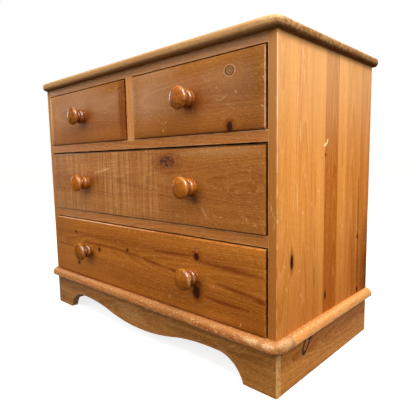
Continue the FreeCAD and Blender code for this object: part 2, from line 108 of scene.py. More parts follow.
class Graph:
    """Adds shader nodes to one node tree and joins them up."""

    def __init__(self, tree: bpy.types.NodeTree) -> None:
        """Starts on a node tree."""
        self.tree = tree

    @property
    def shader(self) -> bpy.types.Node:
        """The shader that a new material starts with."""
        return self.tree.nodes["Principled BSDF"]

    def add(self, kind: str, **settings: object) -> bpy.types.Node:
        """Adds one node.

        Args:
            kind: The node's type, without the prefix that they all share.
            settings: The node's own options.

        Returns:
            The new node.
        """
        node = self.tree.nodes.new("ShaderNode" + kind)
        for name, value in settings.items():
            setattr(node, name, value)
        return node

    def feed(self, socket: Socket, value: Value) -> None:
        """Joins a socket to another one, or gives it a value of its own.

        Args:
            socket: The socket to feed.
            value: The other socket, a number, a vector or a colour.
        """
        if isinstance(value, Socket):
            self.tree.links.new(value, socket)
        else:
            socket.default_value = value

    def fed(self, node: bpy.types.Node, *values: Value) -> bpy.types.Node:
        """Feeds a node's first inputs, in their order.

        Args:
            node: The node.
            values: What to feed, from the first input on.

        Returns:
            The same node.
        """
        for socket, value in zip(node.inputs, values):
            self.feed(socket, value)
        return node

    def fill(self, node: bpy.types.Node, values: dict[str, Value]) -> bpy.types.Node:
        """Feeds a node's inputs by their names.

        Args:
            node: The node.
            values: What to feed, by the input's name.

        Returns:
            The same node.
        """
        for name, value in values.items():
            self.feed(node.inputs[name], value)
        return node

    def math(self, operation: str, *values: Value) -> Socket:
        """Works out a number from one, two or three others."""
        return self.fed(self.add("Math", operation=operation), *values).outputs[0]

    def product(self, *values: Value) -> Value:
        """Multiplies any count of numbers."""
        return reduce(partial(self.math, "MULTIPLY"), values)

    def total(self, *values: Value) -> Value:
        """Adds up any count of numbers."""
        return reduce(partial(self.math, "ADD"), values)

    def apart(self, first: Value, second: Value) -> Socket:
        """How far two numbers are apart."""
        return self.math("ABSOLUTE", self.math("SUBTRACT", first, second))

    def vector(self, operation: str, *values: Value) -> Socket:
        """Works out a vector, a length or a product from one or two vectors."""
        node = self.fed(self.add("VectorMath", operation=operation), *values)
        return node.outputs["Value" if operation in ("DOT_PRODUCT", "LENGTH") else "Vector"]

    def scaled(self, vector: Value, factor: Value) -> Socket:
        """Multiplies a vector by a number."""
        node = self.fed(self.add("VectorMath", operation="SCALE"), vector)
        return self.fill(node, {"Scale": factor}).outputs[0]

    def split(self, vector: Value) -> dict[str, Socket]:
        """Takes a vector apart into its X, Y and Z."""
        node = self.fed(self.add("SeparateXYZ"), vector)
        return {axis: node.outputs[axis] for axis in AXES}

    def joined(self, *parts: Value) -> Socket:
        """Makes a vector of three numbers."""
        return self.fed(self.add("CombineXYZ"), *parts).outputs[0]

    def fade(self, value: Value, start: Value, end: Value) -> Socket:
        """Rises smoothly from 0 at the start to 1 at the end, also where the end is lower."""
        return self.fed(self.add("MapRange", interpolation_type="SMOOTHSTEP"), value, start, end).outputs[0]

    def noise(self, at: Value, scale: float | Place, detail: float = 2.0) -> Socket:
        """A number that varies like clouds, around a half."""
        return self._clouds(at, scale, detail).outputs[0]

    def drift(self, at: Value, scale: float | Place, detail: float = 2.0) -> Socket:
        """A vector that varies like clouds, around a half on each axis."""
        return self._clouds(at, scale, detail).outputs[1]

    def _clouds(self, at: Value, scale: float | Place, detail: float) -> bpy.types.Node:
        """Adds a cloudy texture.

        Args:
            at: The point.
            scale: How many clouds there are to a metre, for all axes or for each of the three.
            detail: How many finer layers lie over the clouds.

        Returns:
            The texture's node, which gives a number and a colour.
        """
        if isinstance(scale, tuple):
            at = self.vector("MULTIPLY", at, scale)
            scale = 1.0
        return self.fill(self.add("TexNoise"), {"Vector": at, "Scale": scale, "Detail": detail})

    def mix(self, share: Value, first: Value, second: Value) -> Socket:
        """Mixes two colours.

        Args:
            share: How much of the second colour, from 0 to 1.
            first: The colour underneath.
            second: The colour on top.

        Returns:
            The mixed colour.
        """
        node = self.add("Mix", data_type="RGBA", clamp_factor=True)
        under, over = [socket for socket in node.inputs if socket.type == "RGBA"]
        self.feed(node.inputs[0], share)
        self.feed(under, first)
        self.feed(over, second)
        return next(socket for socket in node.outputs if socket.type == "RGBA")

    def steps(self, value: Value, stops: Sequence[tuple[float, Colour]]) -> Socket:
        """Gives each stretch of a number its own colour, with sharp changes between.

        Args:
            value: The number, from 0 to 1.
            stops: Where each stretch begins, and its colour.

        Returns:
            The colour of the stretch that the number falls in.
        """
        node = self.fed(self.add("ValToRGB"), value)
        ramp = node.color_ramp
        ramp.interpolation = "CONSTANT"
        while len(ramp.elements) < len(stops):
            ramp.elements.new(1.0)
        for element, (position, colour) in zip(ramp.elements, stops):
            element.position = position
            element.color = colour
        return node.outputs[0]

    def use(self, group: bpy.types.NodeTree, **inputs: Value) -> bpy.types.Node:
        """Adds a node group and feeds its inputs by name."""
        node = self.add("Group", node_tree=group)
        return self.fill(node, {name.capitalize(): value for name, value in inputs.items()})


def new_material(name: str) -> tuple[bpy.types.Material, Graph]:
    """Makes a material.

    Args:
        name: The material's name.

    Returns:
        The material, and the graph to build its looks in.
    """
    material = bpy.data.materials.new(name)
    material.use_nodes = True
    return material, Graph(material.node_tree)


class SocketKind(Enum):
    """The two kinds of value that a node group takes and gives."""

    NUMBER = "NodeSocketFloat"
    VECTOR = "NodeSocketVector"


@dataclass(frozen=True)
class PineFigure:
    """The figure of sawn pine.

    Each pattern has its count to a metre along, across and into the board. Each stretch is where a part of
    the year, or of a pattern, begins to show and where it shows in full.
    """

    boards_apart: Place = (37.0, 53.0, 71.0)
    wander: Place = (1.7, 6.0, 6.0)
    uneven: Place = (4.0, 45.0, 45.0)
    streak: Place = (1.1, 26.0, 26.0)
    line: Place = (1.6, 140.0, 140.0)
    fibre: Place = (14.0, 620.0, 620.0)
    resin: Place = (0.8, 17.0, 9.0)
    speck: Place = (130.0, 480.0, 480.0)
    uneven_share: float = 0.9
    lean_year: float = 0.3
    late_rise: Span = (0.25, 0.9)
    late_stop: Span = (1.0, 0.93)
    soft_rise: Span = (0.0, 0.06)
    soft_stop: Span = (0.24, 0.08)
    resin_veins: Span = (0.5, 0.72)
    flecks: Span = (0.56, 0.70)
    pores: Span = (0.45, 0.30)


@dataclass(frozen=True)
class KnotZones:
    """The zones of a knot, from its middle outwards, as shares of its half length."""

    ragged: float = 0.6
    ragged_scale: float = 160.0
    inner_ring: float = 0.42
    inner: Span = (0.2, 0.05)
    rim_rise: Span = (0.66, 0.92)
    core: Span = (1.0, 0.82)
    rim_stop: Span = (1.22, 1.0)
    aura_ring: float = 1.35
    aura: Span = (0.3, 0.08)
    halo: Span = (2.6, 0.9)
    swell: Span = (4.0, 0.0)
    pull: Span = (4.5, 0.4)
    pull_share: float = -0.75


@dataclass
class WoodGroups:
    """Node groups that all the wood shares: figure, knots, strokes, edges, dings and scratches."""

    pine: PineFigure = PineFigure()
    zones: KnotZones = KnotZones()
    stroke_scale: float = 420.0
    crumb_scale: float = 310.0
    crumb_edge: float = 0.2
    ding_scale: float = 62.0
    ding_reach: Span = (0.05, 0.16)
    ding_core: float = 0.4
    ding_bend: float = 6.0
    ding_bend_scale: float = 90.0
    slants: tuple[float, float] = (28.0, -52.0)
    scratch_scale: Place = (26.0, 520.0, 60.0)
    scratch_lines: Span = (0.66, 0.74)
    scratch_patch_scale: float = 14.0
    scratch_patches: Span = (0.48, 0.60)

    def __post_init__(self) -> None:
        """Makes each group once."""
        self.figure = self._figure()
        self.knot = self._knot()
        self.stroke = self._stroke()
        self.edge = self._edge()
        self.dings = self._dings()
        self.scratches = self._scratches()

    @staticmethod
    def _start(name: str, vectors: Sequence[str], numbers: Sequence[str] = (),
               ) -> tuple[Graph, dict[str, Socket]]:
        """Opens a new node group.

        Args:
            name: The group's name.
            vectors: The names of the vectors that it takes.
            numbers: The names of the numbers that it takes.

        Returns:
            The graph to build in, and the inputs by name.
        """
        tree = bpy.data.node_groups.new(name, "ShaderNodeTree")
        for labels, kind in ((vectors, SocketKind.VECTOR), (numbers, SocketKind.NUMBER)):
            for label in labels:
                tree.interface.new_socket(label, in_out="INPUT", socket_type=kind.value)
        source = tree.nodes.new("NodeGroupInput")
        return Graph(tree), {label: source.outputs[label] for label in (*vectors, *numbers)}

    @staticmethod
    def _close(graph: Graph, gives: dict[str, Socket]) -> bpy.types.NodeTree:
        """Gives a node group its outputs.

        Args:
            graph: The group's graph.
            gives: What the group gives, by the output's name.

        Returns:
            The finished group.
        """
        for label, result in gives.items():
            kind = SocketKind.VECTOR if result.type == "VECTOR" else SocketKind.NUMBER
            graph.tree.interface.new_socket(label, in_out="OUTPUT", socket_type=kind.value)
        graph.fill(graph.tree.nodes.new("NodeGroupOutput"), gives)
        return graph.tree

    def _figure(self) -> bpy.types.NodeTree:
        """The grain of a board: yearly rings round the trunk's centre, broad streaks and fine fibres.

        Returns:
            A group that takes a point as along, across and into the board.
        """
        pine = self.pine
        graph, take = self._start("pine_figure", ("Point", "Pith"), ("Slope", "Ring", "Wander", "Seed"))
        point = graph.vector("ADD", take["Point"], graph.scaled(pine.boards_apart, take["Seed"]))
        slow = graph.vector("SUBTRACT", graph.drift(point, pine.wander, detail=1.5), (0.5, 0.5, 0.5))
        wander = graph.scaled(slow, take["Wander"])
        point = graph.vector("ADD", point, wander)
        centre = graph.vector("SUBTRACT", graph.vector("ADD", take["Point"], wander), take["Pith"])
        part = graph.split(centre)
        depth = graph.math("MULTIPLY_ADD", part["X"], take["Slope"], part["Z"])
        radius = graph.vector("LENGTH", graph.joined(0.0, part["Y"], depth))
        years = graph.math("DIVIDE", radius, take["Ring"])
        years = graph.math("MULTIPLY_ADD", graph.noise(point, pine.uneven), pine.uneven_share, years)
        season = graph.math("FRACT", years)
        chance = graph.add("TexWhiteNoise", noise_dimensions="1D")
        graph.fill(chance, {"W": graph.math("ADD", graph.math("FLOOR", years), take["Seed"])})
        strength = graph.math("MULTIPLY_ADD", chance.outputs[0], 1.0 - pine.lean_year, pine.lean_year)
        late = graph.product(graph.fade(season, *pine.late_rise), graph.fade(season, *pine.late_stop))
        soft = graph.product(graph.fade(season, *pine.soft_rise), graph.fade(season, *pine.soft_stop))
        speck = graph.noise(point, pine.speck, detail=3.0)
        return self._close(graph, {
            "Ring": graph.product(late, strength),
            "Soft": graph.product(soft, strength),
            "Streak": graph.noise(point, pine.streak, detail=3.0),
            "Line": graph.noise(point, pine.line),
            "Fibre": graph.noise(point, pine.fibre),
            "Red": graph.fade(graph.noise(point, pine.resin), *pine.resin_veins),
            "Fleck": graph.fade(speck, *pine.flecks),
            "Pore": graph.fade(speck, *pine.pores),
        })

    def _knot(self) -> bpy.types.NodeTree:
        """A knot: its zones, the stained wood round it and how it pushes the grain aside.

        Returns:
            A group that takes the knot's centre and half lengths.
        """
        zones = self.zones
        graph, take = self._start("knot", ("Point", "Centre", "Size"))
        away = graph.vector("SUBTRACT", take["Point"], take["Centre"])
        far = graph.vector("LENGTH", graph.vector("DIVIDE", away, take["Size"]))
        ragged = graph.noise(take["Point"], zones.ragged_scale)
        reach = graph.math("ADD", far, graph.math("MULTIPLY_ADD", ragged, zones.ragged, -zones.ragged / 2))
        pull = graph.product(graph.fade(far, *zones.pull), zones.pull_share)
        return self._close(graph, {
            "Core": graph.fade(reach, *zones.core),
            "Rim": graph.product(graph.fade(reach, *zones.rim_rise), graph.fade(reach, *zones.rim_stop)),
            "Inner": graph.fade(graph.apart(reach, zones.inner_ring), *zones.inner),
            "Aura": graph.fade(graph.apart(reach, zones.aura_ring), *zones.aura),
            "Halo": graph.fade(reach, *zones.halo),
            "Lift": graph.fade(far, *zones.swell),
            "Shift": graph.scaled(away, pull),
        })

    def _stroke(self) -> bpy.types.NodeTree:
        """A mark from one point to another, thinner at its ends and ragged at its sides.

        Returns:
            A group that takes the two ends, the width, how soft, broken, tapered and ragged it is.
        """
        graph, take = self._start("stroke", ("Point", "Start", "End"),
                                  ("Width", "Soft", "Broken", "Taper", "Ragged"))
        line = graph.vector("SUBTRACT", take["End"], take["Start"])
        away = graph.vector("SUBTRACT", take["Point"], take["Start"])
        along = graph.math("DIVIDE", graph.vector("DOT_PRODUCT", away, line),
                           graph.vector("DOT_PRODUCT", line, line))
        held = graph.math("MINIMUM", graph.math("MAXIMUM", along, 0.0), 1.0)
        gap = graph.vector("LENGTH", graph.vector("SUBTRACT", away, graph.scaled(line, held)))
        gap = graph.math("DIVIDE", gap, take["Width"])
        ragged = graph.math("SUBTRACT", graph.noise(take["Point"], self.stroke_scale), 0.5)
        gap = graph.math("MULTIPLY_ADD", ragged, take["Ragged"], gap)
        from_middle = graph.math("ABSOLUTE", graph.math("MULTIPLY_ADD", held, 2.0, -1.0))
        thinner = graph.product(graph.math("POWER", from_middle, 2.0), take["Taper"])
        edge = graph.math("SUBTRACT", 1.0, thinner)
        whole = graph.fade(gap, edge, graph.math("SUBTRACT", edge, take["Soft"]))
        crumbs = graph.noise(take["Point"], self.crumb_scale, detail=3.0)
        crumbs = graph.fade(crumbs, take["Broken"], graph.math("ADD", take["Broken"], self.crumb_edge))
        return self._close(graph, {"Mark": graph.product(whole, crumbs)})

    def _edge(self) -> bpy.types.NodeTree:
        """How far a point on a board is from the board's nearest edge.

        Returns:
            A group that takes the lowest and highest corner of the board.
        """
        graph, take = self._start("edge", ("Point", "Low", "High"))
        inside = graph.vector("MINIMUM", graph.vector("SUBTRACT", take["Point"], take["Low"]),
                              graph.vector("SUBTRACT", take["High"], take["Point"]))
        part = graph.split(inside)
        least = graph.math("MINIMUM", part["X"], part["Y"])
        most = graph.math("MAXIMUM", part["X"], part["Y"])
        gap = graph.math("MAXIMUM", least, graph.math("MINIMUM", most, part["Z"]))
        return self._close(graph, {"Gap": gap})

    def _dings(self) -> bpy.types.NodeTree:
        """Small knocks scattered over a board, a few to each hand's breadth.

        Returns:
            A group that takes the share of places that are knocked.
        """
        graph, take = self._start("dings", ("Point",), ("Share",))
        bent = graph.scaled(graph.drift(take["Point"], self.ding_bend_scale), self.ding_bend * MM)
        cells = graph.add("TexVoronoi")
        graph.fill(cells, {"Vector": graph.vector("ADD", take["Point"], bent), "Scale": self.ding_scale})
        chance = graph.split(cells.outputs["Color"])
        struck = graph.math("LESS_THAN", chance["X"], take["Share"])
        least, more = self.ding_reach
        reach = graph.math("MULTIPLY_ADD", chance["Y"], more, least)
        spot = graph.fade(cells.outputs["Distance"], reach, graph.product(reach, self.ding_core))
        return self._close(graph, {"Mark": graph.product(spot, struck)})

    def _scratches(self) -> bpy.types.NodeTree:
        """Fine scratches that cross the grain at two slants, in patches.

        Returns:
            A group that takes a point as along, across and into the board.
        """
        graph, take = self._start("scratches", ("Point",))
        part = graph.split(take["Point"])
        marks = []
        for slant in map(math.radians, self.slants):
            forth = graph.total(graph.product(part["X"], math.cos(slant)),
                                graph.product(part["Y"], math.sin(slant)))
            aside = graph.math("SUBTRACT", graph.product(part["Y"], math.cos(slant)),
                               graph.product(part["X"], math.sin(slant)))
            lines = graph.noise(graph.joined(forth, aside, part["Z"]), self.scratch_scale, detail=1.0)
            elsewhere = graph.vector("ADD", take["Point"], (slant, 0.0, 0.0))
            patches = graph.noise(elsewhere, self.scratch_patch_scale)
            marks.append(graph.product(graph.fade(lines, *self.scratch_lines),
                                       graph.fade(patches, *self.scratch_patches)))
        return self._close(graph, {"Mark": graph.math("MAXIMUM", *marks)})


class Grain(Enum):
    """How a board lies: the axes along its grain, across its show face and into its thickness."""

    ALONG_FRONT = "XZY"
    ALONG_TOP = "XYZ"
    UP_SIDE = "ZYX"
    UP_FRONT = "ZXY"
    TO_BACK = "YZX"
    TO_BACK_FLAT = "YXZ"


@dataclass(frozen=True)
class KnotLook:
    """Colours of one kind of knot, and how strongly each of its zones shows."""

    core: str
    core_share: float
    rim: str
    rim_share: float
    halo_share: float
    inner_share: float = 0.0
    aura_share: float = 0.0
    blotched: bool = False


class KnotKind(Enum):
    """The knots that this pine has."""

    DEAD = KnotLook("#2e130a", 0.93, "#4a230c", 0.7, 0.5)
    PIN = KnotLook("#6a2a10", 0.7, "#7a3410", 0.5, 0.2)
    RINGED = KnotLook("#a67c48", 0.7, "#46301a", 0.8, 0.12, 0.7, aura_share=0.2)
    FEATHERED = KnotLook("#2a1d20", 0.9, "#4a3020", 0.15, 0.4, blotched=True)
    EYE = KnotLook("#8a4e1e", 0.0, "#8a4e1e", 0.0, 0.12)


@dataclass(frozen=True)
class Knot:
    """A knot at a place in its board, with half lengths in millimetres.

    The lift is how far the yearly rings swell towards the face around it, in millimetres.
    """

    kind: KnotKind
    at: Place
    size: Place
    lift: float


@dataclass(frozen=True)
class MarkLook:
    """Colour of one kind of mark, how much it covers, and how soft, broken, tapered and ragged it is.

    A mark that breaks the varnish leaves the wood dull and dented.
    """

    colour: str
    share: float
    soft: float
    broken: float = 0.28
    taper: float = 0.6
    ragged: float = 1.2
    breaks: bool = False


class Mark(Enum):
    """Marks: knocks down to bare wood, resin in the grain, fading, dark marks, and painted light and shade.
    """

    SCUFF = MarkLook("#efc68e", 0.62, 0.7, breaks=True)
    SCRAPE = MarkLook("#e6b87c", 0.6, 1.2, 0.44, breaks=True)
    GOUGE = MarkLook("#f8d894", 1.0, 0.5, 0.0, breaks=True)
    RESIN = MarkLook("#6c2608", 0.92, 1.3, 0.0, 0.3, 0.6)
    DARK_RED_BAND = MarkLook("#6e2e10", 0.64, 0.9, 0.0)
    # Painted shade towards the back and floor of a side, and a dark stain beside a knot.
    SHADE_AND_STAIN = MarkLook("#521b04", 1.0, 1.6, 0.0)
    # Painted shade beside a knob, where the knob would keep the sheen off.
    KNOB_SHEEN_SHADOW = MarkLook("#904204", 0.9, 1.4, 0.0, 0.2)
    # Painted light: a warm glow.
    GOLDEN_GLOW = MarkLook("#d8943e", 0.55, 1.5, 0.0, 0.2)
    # A deeper tone; along the upper fronts' edges it is painted shade, where their painted sheen stops.
    DEEPENED = MarkLook("#8a480c", 0.95, 1.5, 0.0, 0.2)
    # Painted shade: deeper shadows below knobs, and darker ends of fronts and of the plinth.
    PAINTED_SHADE = MarkLook("#5a3414", 0.4, 1.6, 0.0, 0.0)
    # Dark lines and spots, and one smudge that is partly a painted knob shadow.
    DARK_MARK = MarkLook("#33190c", 0.6, 0.9)
    LOOP = MarkLook("#300f06", 0.95, 0.8, 0.0, 0.0, 0.8)
    # Painted highlight along an arris.
    ARRIS_HIGHLIGHT = MarkLook("#f8e2c4", 0.85, 0.8, 0.2, 0.0, 0.6)
    # Painted shade in a crevice: along a drawer's gaps and inside the plinth's arches.
    CREVICE_SHADE = MarkLook("#140a06", 0.95, 0.3, 0.0, 0.0, 0.1)
    # Painted shade on a drawer's sides at the front, where the gap beside the front lies in shade.
    GAP_SHADE = MarkLook("#160b06", 1.0, 0.4, 0.0, 0.0, 0.3)
    FADED = MarkLook("#d09a66", 0.35, 1.0)
    # Painted sheen, and a painted highlight along an arris.
    SHEEN_BAND = MarkLook("#cfa07c", 0.48, 1.6, 0.0)
    BARE = MarkLook("#e6c292", 0.75, 1.1, 0.32)


@dataclass(frozen=True)
class Stroke:
    """A mark that runs from place to place of a board, with a half width in millimetres."""

    kind: Mark
    width: float
    places: tuple[Place, ...]


class Face(Enum):
    """The two faces of a board that its knots and marks are on."""

    FRONT = "front"
    RIGHT = "right"

    def place(self, across: float, up: float) -> Place:
        """A place on the face, as shares of the board across and up."""
        return (across, 0.0, up) if self is Face.FRONT else (1.0, across, up)

    def mark(self, kind: Mark, width: float, *spots: Spot) -> Stroke:
        """A mark that runs from spot to spot."""
        return Stroke(kind, width, tuple(self.place(*spot) for spot in spots))

    def ticks(self, kind: Mark, width: float, reach: Spot, *spots: Spot) -> tuple[Stroke, ...]:
        """Short marks that are alike.

        Args:
            kind: What made them.
            width: Half their width in millimetres.
            reach: How far each goes from its middle, across and up.
            spots: Their middles.

        Returns:
            One stroke for each middle.
        """
        along, rise = reach
        return tuple(self.mark(kind, width, (across - along, up - rise), (across + along, up + rise))
                     for across, up in spots)

    def knot(self, kind: KnotKind, wide: float, high: float, spot: Spot, lift: float = 9.0) -> Knot:
        """A knot with the given half width and half height in millimetres."""
        size = (wide, KNOT_DEPTH, high) if self is Face.FRONT else (KNOT_DEPTH, wide, high)
        return Knot(kind, self.place(*spot), size, lift)


FRONT = Face.FRONT
RIGHT = Face.RIGHT


def upright(kind: Mark, width: float, foot: Spot, low: float, high: float) -> Stroke:
    """A mark straight up a board, above a foot that is given to the right and to the back."""
    return Stroke(kind, width, ((*foot, low), (*foot, high)))


def worn_spots(width: float, across: float, up: float, reach: float, *backs: float) -> tuple[Stroke, ...]:
    """Spots rubbed to bare wood along an edge that runs to the back.

    Args:
        width: Half their width in millimetres.
        across: The edge's place to the right.
        up: The edge's place upwards.
        reach: How far each goes from its middle.
        backs: Their middles, to the back.

    Returns:
        One stroke for each middle.
    """
    return tuple(Stroke(Mark.BARE, width, ((across, back - reach, up), (across, back + reach, up)))
                 for back in backs)


@dataclass(frozen=True)
class EndGrain:
    """The colour of a board's ends, how much it shows and how mottled it is.

    The hem is how much painted shade a rounded end gets towards its underside. The gap shade is the stretch
    of the end, in millimetres from the front, that is painted dark as the shade in the gap beside a drawer.
    """

    colour: str = "#5c3a1a"
    share: float = 0.6
    mottled: float = 1.0
    hem: float = 0.0
    painted_gap_shade: Span | None = None


@dataclass(frozen=True)
class Stave:
    """One of the strips that a wide panel is glued up from."""

    width: float
    shade: float = 0.5
    red: float = 0.0


@dataclass(frozen=True)
class LogCuts:
    """How the staves of a panel differ, as strips from all over one log do.

    The steps spread the staves evenly over their chances. The heart is the least and the further share of a
    stave's width at which the trunk's centre lies behind it.
    """

    chance_step: float = 0.618
    shift_step: float = 0.382
    heart: Span = (0.2, 0.6)
    seeds: float = 9.0


@dataclass(frozen=True)
class Ripple:
    """Pale bars across the grain, from one share of the board's length to another.

    The bars set in over the lead, in millimetres, and die away over the tail, a share of the length. Each
    pattern has its count to a metre along X, Y and Z.
    """

    start: float
    end: float
    lead: float = 20.0
    tail: float = 0.12
    share: float = 0.38
    bend: float = 7.0
    bend_scale: Place = (16.0, 3.0, 26.0)
    bar_scale: Place = (165.0, 3.0, 6.0)
    bars: Span = (0.42, 0.64)
    patch_scale: Place = (14.0, 3.0, 14.0)
    patches: Span = (0.15, 0.55)
    line_scale: Place = (9.0, 3.0, 330.0)
    lines: Span = (0.15, 0.65)


@dataclass(frozen=True)
class PineTone:
    """A finish on pine: its colours, the strength of its figure and its gloss."""

    early: str
    late: str
    resin: str
    worn: str
    even_share: float = 0.4
    ring_share: float = 0.3
    soft_share: float = 0.12
    streak_share: float = 1.0
    line_share: float = 0.5
    fibre_share: float = 0.35
    resin_share: float = 0.35
    fleck_share: float = 0.3
    pore_share: float = 0.4
    stave_share: float = 1.6
    roughness: float = 0.42
    streak_roughness: float = 0.16
    specular: float = 0.35
    coat: float = 0.1
    coat_roughness: float = 0.15
    edge_coat: float = 0.35
    relief: float = 0.12


@dataclass(frozen=True)
class Board:
    """How one board was cut from the tree, what use has done to it, and the light and shade painted on it."""

    grain: Grain
    tone: PineTone
    seed: float
    pith: Spot = (10.0, 70.0)
    slope: float = 0.03
    ring: float = 3.2
    wander: float = 18.0
    staves: tuple[Stave, ...] = ()
    log: LogCuts = LogCuts()
    knots: tuple[Knot, ...] = ()
    strokes: tuple[Stroke, ...] = ()
    ends: EndGrain = EndGrain()
    # Painted shade under a rounded edge, and a crest paler where it faces up, partly worn and partly painted
    # light.
    underside: float = 0.0
    crest: float = 0.0
    rubbed: float = 3.2
    rubbed_share: float = 0.6
    scratched: float = 0.3
    dings: float = 0.06
    ripple: Ripple | None = None
    # Painted light and shade: paler towards the top, darker towards the floor, a shadow under an overhang and
    # a sheen.
    painted_top_light: float = 0.0
    painted_low_shade: float = 0.0
    eaves_shadow: float = 0.0
    seated: bool = False
    painted_sheen: float = 0.0
    lipped: float = 0.0
    glint: float = 0.0
    fall: Span | None = None


@dataclass(frozen=True)
class Wear:
    """How use shows on all the boards, and where painted light and shade lie on them.

    A stretch is where a kind of wear or of painted light and shade begins to show and where it shows in full:
    as shares of the height, in millimetres from an edge, or by how straight the surface faces along the grain
    or upwards. A scale is a count of clouds to a metre.
    """

    # Painted light towards the top and painted shade towards the floor, as shares of the height.
    top_light_rise: Span = (0.5, 1.0)
    low_shade_rise: Span = (0.5, 0.0)
    # The painted shadow under an overhang, in millimetres below the board's top.
    eaves_shadow: Span = (16.0, 2.0)
    # The painted sheen: how far in from the edges it sets in, how it rises from the bottom, and how patchy it
    # is.
    sheen_edges: Span = (28.0, 56.0)
    sheen_rise: Span = (0.0, 0.75)
    sheen_patch: float = 30.0
    sheen_scale: float = 16.0
    end_slant: Span = (0.4, 0.85)
    end_mottle: Span = (0.36, 0.62)
    end_scale: float = 150.0
    # The painted shade on the underside of a rounded end.
    hem_slant: Span = (0.2, 0.5)
    hem_turn: Span = (0.3, -0.5)
    # How softly the painted gap shade on an end sets in, in millimetres.
    gap_shade_edge: float = 1.0
    lipping: Span = (2.6, 1.0)
    # Painted shade under rounded edges, and crests that are paler partly through wear and partly as painted
    # light.
    under_slant: Span = (-0.15, -0.85)
    crest_rise: Span = (0.3, 0.75)
    crest_stop: Span = (0.999, 0.96)
    blotch: Span = (0.46, 0.56)
    blotch_scale: float = 290.0
    rub_patch: Span = (0.35, 0.65)
    rub_scale: float = 38.0
    rub_even: float = 0.2
    rub_core: float = 0.3
    seat: Span = (0.0, 10.0)
    ding_share: float = 0.55
    broken_roughness: float = 0.25
    broken_depth: float = -1.5
    ring_depth: float = 0.5
    grain_depth: float = 0.6


